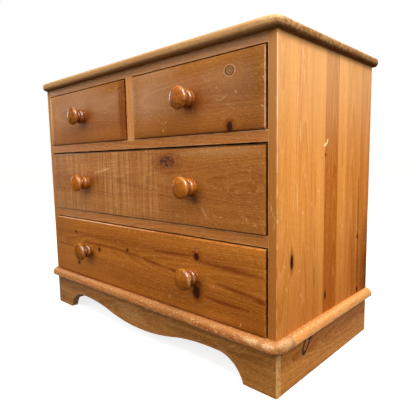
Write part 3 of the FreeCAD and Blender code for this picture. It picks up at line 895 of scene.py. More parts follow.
class BoardSkin:
    """The finish of one board, laid on layer by layer."""

    def __init__(self, node: bpy.types.Object, board: Board, groups: WoodGroups, wear: Wear = Wear()) -> None:
        """Starts on a solid, with the lightest colour of its wood.

        Args:
            node: The solid.
            board: How it was cut and worn.
            groups: The node groups that all the wood shares.
            wear: How use shows on all the boards.
        """
        self.node = node
        self.board = board
        self.groups = groups
        self.wear = wear
        self.low, self.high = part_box(node.name)
        self.material, self.graph = new_material("pine_" + node.name)
        self.point = self.graph.add("TexCoord").outputs["Object"]
        self.place = self.graph.split(self.point)
        self.normal = self.graph.split(self.graph.add("NewGeometry").outputs["Normal"])
        self.gap = self.graph.use(groups.edge, point=self.point, low=self.low, high=self.high).outputs["Gap"]
        self.knots = [self._zones(knot) for knot in board.knots]
        self.colour: Value = tint(board.tone.early)
        self.broken: Value = 0.0

    def dress(self) -> None:
        """Lays every layer, from the sound wood to the varnish, and gives the solid its looks."""
        figure = self._sound_wood()
        self._weather()
        self._end_grain()
        self._rounded_edges()
        if self.board.ripple:
            self._rippled(self.board.ripple)
        self._strokes()
        self._knocks()
        for knot, zones in zip(self.board.knots, self.knots):
            self._knot(knot.kind.value, zones)
        self._rubbed_edges()
        self._varnish(figure)
        self.node.material_slots[0].material = self.material

    def _lay(self, code: str, *shares: Value) -> None:
        """Lays a colour over the board, by the product of its shares."""
        self.colour = self.graph.mix(self.graph.product(*shares), self.colour, tint(code))

    def _at(self, place: Place) -> Vector:
        """The point at a place of the board."""
        return Vector(l + (h - l) * share for l, h, share in zip(self.low, self.high, place))

    def _from_low(self, axis: str, start: float, end: float) -> Socket:
        """Rises between two distances, in millimetres, from the board's low face on an axis."""
        face = self.low[AXES.index(axis)]
        return self.graph.fade(self.place[axis], face + start * MM, face + end * MM)

    def _from_high(self, axis: str, start: float, end: float) -> Socket:
        """Rises between two distances, in millimetres, from the board's high face on an axis."""
        face = self.high[AXES.index(axis)]
        return self.graph.fade(self.place[axis], face - start * MM, face - end * MM)

    def _upwards(self, start: float, end: float) -> Socket:
        """Rises between two shares of the board's height."""
        tall = self.high.z - self.low.z
        return self.graph.fade(self.place["Z"], self.low.z + start * tall, self.low.z + end * tall)

    def _zones(self, knot: Knot) -> bpy.types.Node:
        """The node with the zones of one knot."""
        return self.graph.use(self.groups.knot, point=self.point, centre=self._at(knot.at),
                              size=Vector(knot.size) * MM)

    def _grown(self) -> Socket:
        """Moves the grain aside and towards the face where a knot has pushed it.

        Returns:
            The point that the grain is taken from.
        """
        inwards = Vector(float(axis == self.board.grain.value[2]) for axis in AXES)
        moved = self.point
        for knot, zones in zip(self.board.knots, self.knots):
            swell = self.graph.scaled(inwards * knot.lift * MM, zones.outputs["Lift"])
            moved = self.graph.vector("ADD", moved, zones.outputs["Shift"])
            moved = self.graph.vector("ADD", moved, swell)
        return moved

    def _stave_stops(self) -> tuple[list[tuple[float, Colour]], list[tuple[float, Colour]]]:
        """Gives each stave a cut of its own, as if it came from another part of the log.

        Returns:
            Where each stave begins, as a share of the width, once with its shade, its chance and its redness,
            and once with its heart's place, its shift along the log and which way round it lies.
        """
        log = self.board.log
        whole = sum(strip.width for strip in self.board.staves)
        looks = []
        cuts = []
        begin = 0.0
        for number, strip in enumerate(self.board.staves):
            chance = (number * log.chance_step) % 1.0
            shift = (number * log.shift_step) % 1.0
            least, further = log.heart
            heart = (begin + strip.width * (least + further * chance)) / whole
            looks.append((begin / whole, (strip.shade, chance, strip.red, 1.0)))
            cuts.append((begin / whole, (heart, shift, number % 2, 1.0)))
            begin += strip.width
        return looks, cuts

    def _sawn(self) -> tuple[bpy.types.Node, dict[str, Socket] | None]:
        """Cuts the board, or each of its staves, from the log.

        Returns:
            The node with the figure, and the stave's shade, chance and redness, if the board has staves.
        """
        graph, board = self.graph, self.board
        grown = self._grown()
        part = graph.split(graph.vector("SUBTRACT", grown, (self.low + self.high) / 2))
        along, across, into = board.grain.value
        seed: Value = board.seed
        stave = None
        if board.staves:
            side = AXES.index(across)
            extent = self.high[side] - self.low[side]
            share = graph.math("SUBTRACT", graph.split(grown)[across], self.low[side])
            share = graph.math("DIVIDE", share, extent)
            looks, cuts = self._stave_stops()
            stave = graph.split(graph.steps(share, looks))
            cut = graph.split(graph.steps(share, cuts))
            seed = graph.math("MULTIPLY_ADD", stave["Y"], board.log.seeds, board.seed)
            part[across] = graph.product(graph.math("SUBTRACT", share, cut["X"]), extent)
            way_round = graph.math("MULTIPLY_ADD", cut["Z"], -2.0, 1.0)
            part[along] = graph.product(graph.math("ADD", part[along], cut["Y"]), way_round)
        figure = graph.use(
            self.groups.figure, point=graph.joined(part[along], part[across], part[into]),
            pith=(0.0, board.pith[0] * MM, board.pith[1] * MM), slope=board.slope, ring=board.ring * MM,
            wander=board.wander * MM, seed=seed)
        return figure, stave

    def _sound_wood(self) -> bpy.types.Node:
        """Lays the colours of sound wood by its figure.

        Returns:
            The node with the figure.
        """
        graph, tone = self.graph, self.board.tone
        figure, stave = self._sawn()
        part = figure.outputs
        dark = [graph.product(part["Ring"], tone.ring_share)]
        for name, share in (("Streak", tone.streak_share), ("Line", tone.line_share),
                            ("Fibre", tone.fibre_share)):
            dark.append(graph.math("MULTIPLY_ADD", part[name], share, -share / 2))
        dark.append(tone.even_share)
        red = graph.product(part["Red"], tone.resin_share)
        if stave:
            dark.append(graph.math("MULTIPLY_ADD", stave["X"], tone.stave_share, -tone.stave_share / 2))
            red = graph.math("ADD", red, stave["Z"])
        self._lay(tone.late, graph.total(*dark))
        self._lay(tone.resin, red)
        self._lay(tone.resin, part["Pore"], tone.pore_share)
        self._lay(tone.worn, part["Soft"], tone.soft_share)
        self._lay(tone.worn, part["Fleck"], tone.fleck_share)
        return figure

    def _weather(self) -> None:
        """Paints light towards a board's top, shade towards the floor and a shadow under an overhang, and a
        sheen.
        """
        board, wear = self.board, self.wear
        # Painted light towards the top, and painted shade towards the floor.
        if board.painted_top_light:
            self._lay(board.tone.worn, self._upwards(*wear.top_light_rise), board.painted_top_light)
        if board.painted_low_shade:
            self._lay(board.tone.resin, self._upwards(*wear.low_shade_rise), board.painted_low_shade)
        # Painted shadow under an overhang.
        if board.eaves_shadow:
            self._lay(UNDERSIDE_SHADE, self._from_high("Z", *wear.eaves_shadow), board.eaves_shadow)
        # Painted sheen: a pale haze inside the face's edges, fading towards its bottom.
        if board.painted_sheen:
            patchy = self.graph.noise(self.point, wear.sheen_scale)
            inside = self.graph.math("MULTIPLY_ADD", patchy, wear.sheen_patch * MM, self.gap)
            begin, full = (gap * MM for gap in wear.sheen_edges)
            self._lay(PAINTED_SHEEN_TINT, self.graph.fade(inside, begin, full), board.painted_sheen,
                      self._upwards(*wear.sheen_rise))

    def _end_grain(self) -> None:
        """Darkens end grain, which drinks more varnish, and a front edge's lipping; paints shade in gaps and
        under ends.
        """
        graph, ends, wear = self.graph, self.board.ends, self.wear
        facing = graph.math("ABSOLUTE", self.normal[self.board.grain.value[0]])
        end = graph.fade(facing, *wear.end_slant)
        mottled = graph.fade(graph.noise(self.point, wear.end_scale, detail=4.0), *wear.end_mottle)
        cover = graph.math("MULTIPLY_ADD", mottled, ends.mottled * ends.share,
                           (1.0 - ends.mottled) * ends.share)
        self._lay(ends.colour, end, cover)
        # Painted shade on the end, where the gap beside the drawer lies in shade.
        if ends.painted_gap_shade:
            begin, stop = ends.painted_gap_shade
            self._lay(GAP_SHADE_TINT, end, self._from_low("Y", begin, begin + wear.gap_shade_edge),
                      self._from_low("Y", stop + wear.gap_shade_edge, stop))
        # Painted shade on the underside of a rounded end.
        if ends.hem:
            self._lay(END_SHADE, graph.fade(facing, *wear.hem_slant),
                      graph.fade(self.normal["Z"], *wear.hem_turn), ends.hem)
        if self.board.lipped:
            self._lay(LIPPING, self._from_low("Y", *wear.lipping), self.board.lipped)

    def _rounded_edges(self) -> None:
        """Paints shade under a rounded edge, and pales its crest, partly as wear where hands rub and partly
        as painted light.
        """
        board, wear, up = self.board, self.wear, self.normal["Z"]
        # Painted shade under a rounded edge.
        if board.underside:
            self._lay(UNDERSIDE_SHADE, self.graph.fade(up, *wear.under_slant), board.underside)
        if board.crest:
            self._lay(board.tone.worn, self.graph.fade(up, *wear.crest_rise),
                      self.graph.fade(up, *wear.crest_stop), board.crest)

    def _rippled(self, ripple: Ripple) -> None:
        """Lays pale bars across the grain, where the fibres run in waves.

        Args:
            ripple: The bars, and the stretch of the board that has them.
        """
        graph = self.graph
        length = (self.high.x - self.low.x) / MM
        bent = graph.scaled(graph.drift(self.point, ripple.bend_scale), ripple.bend * MM)
        bars = graph.noise(graph.vector("ADD", self.point, bent), ripple.bar_scale, detail=2.5)
        patches = graph.noise(self.point, ripple.patch_scale)
        lines = graph.noise(self.point, ripple.line_scale)
        self._lay(self.board.tone.worn, graph.fade(bars, *ripple.bars), graph.fade(patches, *ripple.patches),
                  graph.fade(lines, *ripple.lines),
                  self._from_low("X", ripple.end * length, (ripple.end - ripple.tail) * length),
                  self._from_low("X", ripple.start * length - ripple.lead, ripple.start * length),
                  ripple.share)

    def _strokes(self) -> None:
        """Lays the board's own marks, in their order."""
        for stroke in self.board.strokes:
            look = stroke.kind.value
            for start, end in zip(stroke.places, stroke.places[1:]):
                mark = self.graph.use(
                    self.groups.stroke, point=self.point, start=self._at(start), end=self._at(end),
                    width=stroke.width * MM, soft=look.soft, broken=look.broken, taper=look.taper,
                    ragged=look.ragged)
                share = self.graph.product(mark.outputs["Mark"], look.share)
                self._lay(look.colour, share)
                if look.breaks:
                    self.broken = self.graph.math("MAXIMUM", self.broken, share)

    def _knocks(self) -> None:
        """Lays the small dings and the fine scratches that are scattered over the board."""
        graph, board = self.graph, self.board
        cut = graph.joined(*(self.place[axis] for axis in board.grain.value))
        dings = graph.use(self.groups.dings, point=self.point, share=board.dings).outputs["Mark"]
        scratches = graph.use(self.groups.scratches, point=cut).outputs["Mark"]
        share = graph.math("MAXIMUM", graph.product(dings, self.wear.ding_share),
                           graph.product(scratches, board.scratched))
        self._lay(board.tone.worn, share)
        self.broken = graph.math("MAXIMUM", self.broken, share)

    def _knot(self, look: KnotLook, zones: bpy.types.Node) -> None:
        """Lays one knot over the wood.

        Args:
            look: The knot's colours.
            zones: The node with its zones.
        """
        core = [zones.outputs["Core"], look.core_share]
        if look.blotched:
            blotches = self.graph.noise(self.point, self.wear.blotch_scale)
            core.append(self.graph.fade(blotches, *self.wear.blotch))
        self._lay(Mark.RESIN.value.colour, zones.outputs["Halo"], look.halo_share)
        self._lay(look.core, *core)
        if look.aura_share:
            self._lay(Mark.BARE.value.colour, zones.outputs["Aura"], look.aura_share)
        if look.inner_share:
            self._lay(look.rim, zones.outputs["Inner"], look.inner_share)
        self._lay(look.rim, zones.outputs["Rim"], look.rim_share)

    def _rubbed_edges(self) -> None:
        """Pales the edges that hands have rubbed, apart from ends that other boards cover."""
        graph, board, wear = self.graph, self.board, self.wear
        patchy = graph.fade(graph.noise(self.point, wear.rub_scale, detail=4.0), *wear.rub_patch)
        even = wear.rub_even * board.rubbed * MM
        reach = graph.math("MULTIPLY_ADD", patchy, board.rubbed * MM - even, even)
        shares = [graph.fade(self.gap, reach, graph.product(reach, wear.rub_core)), board.rubbed_share]
        if board.seated:
            shares += [self._from_low("Z", *wear.seat), self._from_high("Z", *wear.seat)]
        rubbed = graph.product(*shares)
        self._lay(board.tone.worn, rubbed)
        self.broken = graph.math("MAXIMUM", self.broken, rubbed)

    def _varnish(self, figure: bpy.types.Node) -> None:
        """Sets the shader: satin varnish over wood that can be felt, dull where it is broken.

        Args:
            figure: The node with the figure.
        """
        graph, tone, wear, part = self.graph, self.board.tone, self.wear, figure.outputs
        rough = graph.math("MULTIPLY_ADD", part["Streak"], tone.streak_roughness,
                           tone.roughness - tone.streak_roughness / 2)
        height = graph.math("MULTIPLY_ADD", part["Ring"], wear.ring_depth, part["Fibre"])
        height = graph.math("MULTIPLY_ADD", self.broken, wear.broken_depth, height)
        felt = graph.fill(graph.add("Bump"), {
            "Strength": tone.relief, "Distance": wear.grain_depth * MM, "Height": height})
        if self.board.fall:
            graph.fill(felt, {"Normal": self._crowned(*self.board.fall)})
        graph.fill(graph.shader, {
            "Base Color": self.colour,
            "Roughness": graph.math("MULTIPLY_ADD", self.broken, wear.broken_roughness, rough),
            "Specular IOR Level": tone.specular,
            "Coat Weight": tone.coat,
            "Coat Roughness": tone.coat_roughness,
            "Normal": felt.outputs[0],
        })
        if self.board.glint:
            run = graph.product(self._from_low("X", self.board.glint, 0.0), tone.edge_coat)
            graph.fill(graph.shader, {"Coat Weight": run, "Coat Normal": felt.outputs[0]})

    def _crowned(self, width: float, drop: float) -> Socket:
        """Lets the face fall away towards its edges, as sanding leaves it.

        Args:
            width: How far in the fall begins, in millimetres.
            drop: How far the face falls, in millimetres.

        Returns:
            The normal of the crowned face.
        """
        graph = self.graph
        near = graph.math("MAXIMUM", graph.math("MULTIPLY_ADD", self.gap, -1 / (width * MM), 1.0), 0.0)
        height = graph.product(graph.math("POWER", near, 2.0), -drop * MM)
        return graph.fill(graph.add("Bump"), {"Distance": 1.0, "Height": height}).outputs[0]


HONEY = PineTone(early="#f2a34e", late="#b66016", resin="#94440a", worn="#f8cf98", specular=0.0, coat=0.0,
                 streak_share=0.8, fleck_share=0.15, pore_share=0.25)
DRAWER = PineTone(early="#b87432", late="#80420c", resin="#7c3406", worn="#dfaa6c", specular=0.06, coat=0.0)
HIGH_DRAWER = replace(DRAWER, early="#ba7634", late="#7e420c", specular=0.03, ring_share=0.22, line_share=0.3)
LOW_DRAWER = replace(DRAWER, early="#c87a2c", late="#8a4608", resin="#702806", specular=0.02)
RAIL = PineTone(early="#c47c38", late="#904c10", resin="#8a3c0c", worn="#dcae78", specular=0.1, coat=0.0)
# The top rail's paler, greyer copy of the rail's tone is painted sheen.
HIGH_RAIL = replace(RAIL, early="#ca905e", late="#9a6032")
DIVIDER = replace(RAIL, early="#e29a54", late="#b87030")
TOP = PineTone(early="#cc9c64", late="#946236", resin="#80481e", worn="#eccb9c", specular=0.0, coat=0.0)
BASE = PineTone(early="#c07a3c", late="#8e4c1c", resin="#7c3a16", worn="#e8be86", specular=0.03, coat=0.04,
                streak_share=1.3, fleck_share=0.6, pore_share=0.6)
BASE_SIDE = replace(BASE, early="#eca45a", late="#b66e32", specular=0.02)
PLINTH = PineTone(early="#bc7c3a", late="#764214", resin="#6a300c", worn="#d8a868", specular=0.04, coat=0.0,
                  streak_share=1.5, line_share=1.0, fleck_share=0.4, pore_share=0.55)
PLINTH_SIDE = PineTone(early="#d48c3e", late="#904c12", resin="#7a380c", worn="#e6b67a", specular=0.02,
                       coat=0.0, streak_share=1.3, line_share=1.0, pore_share=0.5)
BARE = PineTone(early="#e2bf8c", late="#bf8f54", resin="#b97c46", worn="#ecd3a8", roughness=0.7,
                specular=0.25, coat=0.0, relief=0.2)
PLY = replace(BARE, early="#d9b380", late="#b98a55", ring_share=0.35, fibre_share=0.25)
PLY_SHEET = Board(Grain.ALONG_TOP, PLY, 16.0, slope=0.05, ring=9.0, wander=50.0)
# Drawer fronts: their ends are painted dark where the gap beside the drawer lies in shade.
FRONT_BOARD = Board(Grain.ALONG_FRONT, DRAWER, 31.0, rubbed=2.4, fall=(14.0, 1.2),
                    ends=EndGrain("#5a3010", 0.6, 0.6, painted_gap_shade=(3.0, 9.0)))


@dataclass
class Joinery:
    """A sub-assembly of pine boards."""

    frame: dict
    groups: WoodGroups

    def boards(self) -> dict[str, Board]:
        """Says how each board was cut and worn, by the name of its piece."""
        raise NotImplementedError

    def dress(self) -> None:
        """Dresses every board and reports it."""
        for name, board in self.boards().items():
            BoardSkin(self.frame["nodes"][name], board, self.groups).dress()
            LOG.info("dressed %s as pine", name)


@dataclass
class Carcase(Joinery):
    """The fixed case: top, sides, rails, divider, back and the strips that the drawers run on."""

    stave_width: float = 60.0

    def boards(self) -> dict[str, Board]:
        """Says how each board of the case was cut and worn."""
        return self._show_boards() | self._hidden_boards()

    def _show_boards(self) -> dict[str, Board]:
        """Says how the varnished boards of the case were cut and worn.

        Returns:
            The boards, by the names of their pieces.
        """
        # The sides: painted light towards the top, painted shade towards the floor, and a painted shadow
        # under the top.
        left = Board(Grain.UP_SIDE, HONEY, 11.4, pith=(0.0, 46.0), ring=3.4, staves=self._staves(),
                     painted_top_light=0.3, painted_low_shade=0.4, lipped=0.55, scratched=0.12, rubbed=2.6, rubbed_share=0.3,
                     eaves_shadow=0.45, seated=True)
        return {
            # The top's nose: painted shade underneath and on its rounded ends, and a crest that is partly
            # painted light.
            "top_board": Board(Grain.ALONG_TOP, TOP, 3.1, pith=(0.0, -90.0), rubbed=6.0, rubbed_share=0.06,
                               staves=self._planks(), underside=0.47, crest=0.16, strokes=self._top_wear(),
                               ends=EndGrain("#6a4420", 0.65, hem=0.6)),
            # Painted shadow under the top's nose.
            "top_rail_front": Board(Grain.ALONG_FRONT, HIGH_RAIL, 5.2, pith=(30.0, 60.0), eaves_shadow=0.4),
            "middle_rail_front": Board(Grain.ALONG_FRONT, RAIL, 6.7, pith=(25.0, 50.0)),
            "lower_rail_front": Board(Grain.ALONG_FRONT, RAIL, 8.3, pith=(-28.0, 60.0)),
            "drawer_divider": Board(Grain.UP_FRONT, DIVIDER, 9.1, pith=(20.0, 50.0)),
            "side_panel_left": left,
            "side_panel_right": replace(left, seed=12.6, knots=self._side_knots(),
                                        strokes=self._side_marks() + self._stile_marks()),
        }

    def _staves(self) -> tuple[Stave, ...]:
        """The strips that each side is glued up from, from front to back."""
        looks = ((0.34, 0.0), (0.43, 0.05), (0.34, 0.0), (0.70, 0.25), (0.41, 0.0), (0.56, 0.05), (0.63, 0.1))
        return tuple(Stave(self.stave_width, shade, red) for shade, red in looks)

    @staticmethod
    def _planks() -> tuple[Stave, ...]:
        """The planks that the top is glued up from, from front to back."""
        planks = ((88.0, 0.46), (102.0, 0.54), (80.0, 0.44), (96.0, 0.56), (84.0, 0.5))
        return tuple(Stave(width, shade) for width, shade in planks)

    @staticmethod
    def _top_wear() -> tuple[Stroke, ...]:
        """The bare wood at the top's near corner, and worn spots along its right end."""
        corner = Stroke(Mark.BARE, 11.0, ((0.955, 0.004, 0.75), (0.992, 0.015, 0.78), (0.997, 0.05, 0.75)))
        return corner, *worn_spots(7.0, 0.995, 0.85, 0.012, 0.12, 0.21, 0.47, 0.56, 0.68, 0.83, 0.93)

    @staticmethod
    def _side_knots() -> tuple[Knot, ...]:
        """The knots in the right side."""
        return (
            RIGHT.knot(KnotKind.DEAD, 5.0, 14.0, (0.122, 0.253)),
            RIGHT.knot(KnotKind.PIN, 2.4, 2.8, (0.436, 0.617)),
            RIGHT.knot(KnotKind.DEAD, 3.0, 8.0, (0.455, 0.070)),
            RIGHT.knot(KnotKind.DEAD, 3.5, 6.0, (0.851, 0.260)),
            RIGHT.knot(KnotKind.DEAD, 4.0, 5.0, (0.860, 0.018)),
        )

    @staticmethod
    def _side_marks() -> tuple[Stroke, ...]:
        """The gouge, the dark lines, the painted shade towards the back and the floor, and the scuffs in the
        right side.
        """
        return (
            RIGHT.mark(Mark.GOUGE, 3.6, (0.457, 0.676), (0.448, 0.660), (0.415, 0.649)),
            RIGHT.mark(Mark.DARK_MARK, 1.3, (0.119, 0.205), (0.119, 0.330)),
            # Painted shade towards the back and the floor.
            RIGHT.mark(Mark.SHADE_AND_STAIN, 85.0, (0.99, -0.3), (0.96, 0.34)),
            RIGHT.mark(Mark.RESIN, 6.0, (0.858, 0.02), (0.855, 0.26), (0.850, 0.52)),
            RIGHT.mark(Mark.DARK_MARK, 1.3, (0.858, 0.02), (0.855, 0.45)),
            RIGHT.mark(Mark.DARK_MARK, 1.3, (0.335, 0.07), (0.330, 0.22)),
            RIGHT.mark(Mark.DARK_MARK, 1.3, (0.130, 0.33), (0.128, 0.44)),
            RIGHT.mark(Mark.SCUFF, 2.4, (0.190, 0.985), (0.220, 0.93)),
            RIGHT.mark(Mark.SCUFF, 2.4, (0.215, 0.92), (0.218, 0.85)),
            RIGHT.mark(Mark.SCUFF, 2.4, (0.170, 0.845), (0.155, 0.77)),
            RIGHT.mark(Mark.SCUFF, 2.4, (0.185, 0.735), (0.188, 0.66)),
            RIGHT.mark(Mark.SCUFF, 2.4, (0.163, 0.52), (0.168, 0.42)),
            *RIGHT.ticks(Mark.SCUFF, 2.0, (0.006, -0.008), (0.649, 0.326), (0.218, 0.414), (0.190, 0.210),
                         (0.367, 0.485), (0.078, 0.164), (0.205, 0.120), (0.060, 0.245), (0.300, 0.440),
                         (0.235, 0.545)),
        )

    @staticmethod
    def _stile_marks() -> tuple[Stroke, ...]:
        """The scratches on the right side's front edge, the painted highlight along its arris, and the chips
        along it.

        Returns:
            The marks, in the order in which they are laid.
        """
        arris = (0.985, 0.002)
        chipped = (0.97, 0.003)
        return (
            FRONT.mark(Mark.SCUFF, 1.2, (0.35, 0.456), (0.45, 0.432), (0.90, 0.404)),
            FRONT.mark(Mark.SCUFF, 1.2, (0.75, 0.402), (0.62, 0.372)),
            # Painted highlight along the arris, thinner lower down.
            upright(Mark.ARRIS_HIGHLIGHT, 1.35, arris, 0.985, 0.74),
            upright(Mark.ARRIS_HIGHLIGHT, 1.0, arris, 0.74, 0.56),
            upright(Mark.ARRIS_HIGHLIGHT, 0.7, arris, 0.56, 0.25),
            upright(Mark.SCUFF, 1.6, chipped, 0.485, 0.525),
            upright(Mark.SCUFF, 1.6, chipped, 0.397, 0.409),
            upright(Mark.SCUFF, 1.6, chipped, 0.308, 0.332),
        )

    @staticmethod
    def _hidden_boards() -> dict[str, Board]:
        """Says how the unvarnished boards inside the case were cut.

        Returns:
            The boards, by the names of their pieces.
        """
        boards = {"back_panel": replace(PLY_SHEET, grain=Grain.UP_FRONT, pith=(40.0, 25.0), rubbed_share=0.1)}
        for name in ("top_rail_rear", "middle_rail_rear"):
            boards[name] = Board(Grain.ALONG_FRONT, BARE, 14.0)
        strips = ("upper_runner_left", "upper_runner_centre", "upper_runner_right", "lower_runner_left",
                  "lower_runner_right", "centre_guide", "kickers", "drawer_stops")
        for number, name in enumerate(strips):
            boards[name] = Board(Grain.TO_BACK_FLAT, BARE, 15.0 + number)
        return boards


@dataclass
class Plinth(Joinery):
    """The base boards with their rounded edge, and the plinth under them."""

    loop_middle: Spot = (0.243, 0.75)
    loop_half: Spot = (0.028, 0.175)
    loop_lean: float = 0.022
    loop_corners: int = 12

    def boards(self) -> dict[str, Board]:
        """Says how each board of the base was cut and worn.

        Returns:
            The boards, by the names of their pieces.
        """
        # The base's rounded edge: painted shade underneath, and a crest that is partly painted light.
        nosing = Board(Grain.ALONG_FRONT, BASE, 21.0, rubbed=5.0, rubbed_share=0.3, dings=0.4, underside=0.65,
                       crest=0.12, scratched=0.5, strokes=self._corner_wear())
        side_nosing = replace(nosing, grain=Grain.TO_BACK, tone=BASE_SIDE, seed=26.0, underside=0.5,
                              crest=0.1, strokes=())
        flecks = worn_spots(5.0, 0.9, 0.92, 0.01, 0.05, 0.11, 0.18, 0.29, 0.37, 0.48, 0.55, 0.63, 0.66, 0.74,
                            0.86, 0.92)
        # Painted shadow under the base's rounded edge.
        side = Board(Grain.TO_BACK, PLINTH_SIDE, 29.0, dings=0.12, eaves_shadow=0.8, scratched=0.5)
        return {
            "base_board_front": nosing,
            "base_board_rear": Board(Grain.ALONG_FRONT, BARE, 22.0),
            # The plinth's front: a painted shadow under the base's rounded edge.
            "plinth_front": Board(Grain.ALONG_FRONT, PLINTH, 23.0, strokes=self._front_marks(), dings=0.18,
                                  eaves_shadow=0.5, scratched=0.7, ends=EndGrain("#dcaa6a", 0.8, 0.6)),
            "plinth_rear": Board(Grain.ALONG_FRONT, BARE, 24.0),
            "corner_blocks": Board(Grain.UP_FRONT, BARE, 25.0),
            "base_board_left": side_nosing,
            "plinth_left": side,
            "base_board_right": replace(side_nosing, seed=27.0, strokes=flecks),
            "plinth_right": replace(side, seed=30.0, strokes=self._loop_knot()),
        }

    @staticmethod
    def _corner_wear() -> tuple[Stroke, ...]:
        """The bare and faded wood at the near corner of the base."""
        return (
            Stroke(Mark.BARE, 11.0, ((0.90, 0.0, 0.75), (0.955, 0.0, 0.70), (0.985, 0.12, 0.65))),
            FRONT.mark(Mark.BARE, 3.0, (0.82, 0.80), (0.86, 0.78)),
            Stroke(Mark.BARE, 14.0, ((0.99, 0.2, 0.7), (0.995, 1.0, 0.7))),
            Stroke(Mark.FADED, 34.0, ((0.985, 0.15, 0.6), (1.0, 1.2, 0.6))),
        )

    @staticmethod
    def _front_marks() -> tuple[Stroke, ...]:
        """The scuffs, the painted shade inside the arches and at the left end, and the faded stretch of the
        plinth's front.
        """
        return (
            *FRONT.ticks(Mark.SCUFF, 1.5, (0.004, 0.015), (0.419, 0.710), (0.534, 0.510), (0.853, 0.478)),
            # Painted shade inside the arches.
            Stroke(Mark.CREVICE_SHADE, 11.0, ((0.135, 0.55, 0.0), (0.135, 0.55, 0.35), (0.155, 0.55, 0.47))),
            Stroke(Mark.CREVICE_SHADE, 11.0, ((0.865, 0.55, 0.0), (0.865, 0.55, 0.35), (0.845, 0.55, 0.47))),
            # Painted shade at the left end.
            FRONT.mark(Mark.PAINTED_SHADE, 110.0, (0.0, 0.0), (0.04, 0.8)),
            FRONT.mark(Mark.FADED, 34.0, (0.38, 0.66), (0.54, 0.50)),
        )

    def _loop_knot(self) -> tuple[Stroke, ...]:
        """The dark ring of a knot in the right plinth, taller than wide and leaning to the back.

        Returns:
            The ring, the two thicker stretches of it and the dark stain beside it.
        """
        turns = [math.tau * number / self.loop_corners for number in range(self.loop_corners + 1)]
        ring = [(self.loop_middle[0] + self.loop_half[0] * math.cos(turn) + self.loop_lean * math.sin(turn),
                 self.loop_middle[1] + self.loop_half[1] * math.sin(turn)) for turn in turns]
        return (
            # A dark stain beside the knot.
            RIGHT.mark(Mark.SHADE_AND_STAIN, 14.0, (0.29, 0.72), (0.30, 1.0)),
            RIGHT.mark(Mark.LOOP, 4.8, *ring),
            RIGHT.mark(Mark.LOOP, 8.0, *ring[1:4], (self.loop_middle[0] + 1.6 * self.loop_lean, 1.0)),
            RIGHT.mark(Mark.LOOP, 8.0, *ring[8:10]),
        )


@dataclass
class DrawerBox(Joinery):
    """One drawer: its show front and its plain box."""

    name: str
    front: Board
    seed: float

    def boards(self) -> dict[str, Board]:
        """Says how each board of the drawer was cut and worn.

        Returns:
            The boards, by the names of their pieces.
        """
        boards = {"front": self.front}
        for side, outer in (("side_left", 0.0), ("side_right", 1.0)):
            # Painted shade at the front of each side, where the gap beside the front lies in shade.
            side_gap_shade = upright(Mark.GAP_SHADE, 5.5, (outer, 0.0), 0.0, 1.0)
            boards[side] = Board(Grain.TO_BACK, BARE, self.seed, strokes=(side_gap_shade,), rubbed_share=0.0)
        boards["back"] = Board(Grain.ALONG_FRONT, BARE, self.seed + 0.4)
        boards["bottom"] = replace(PLY_SHEET, seed=self.seed + 0.7, pith=(60.0, 30.0), rubbed_share=0.0,
                                   dings=0.0)
        return {self.name + "_drawer_" + piece: board for piece, board in boards.items()}


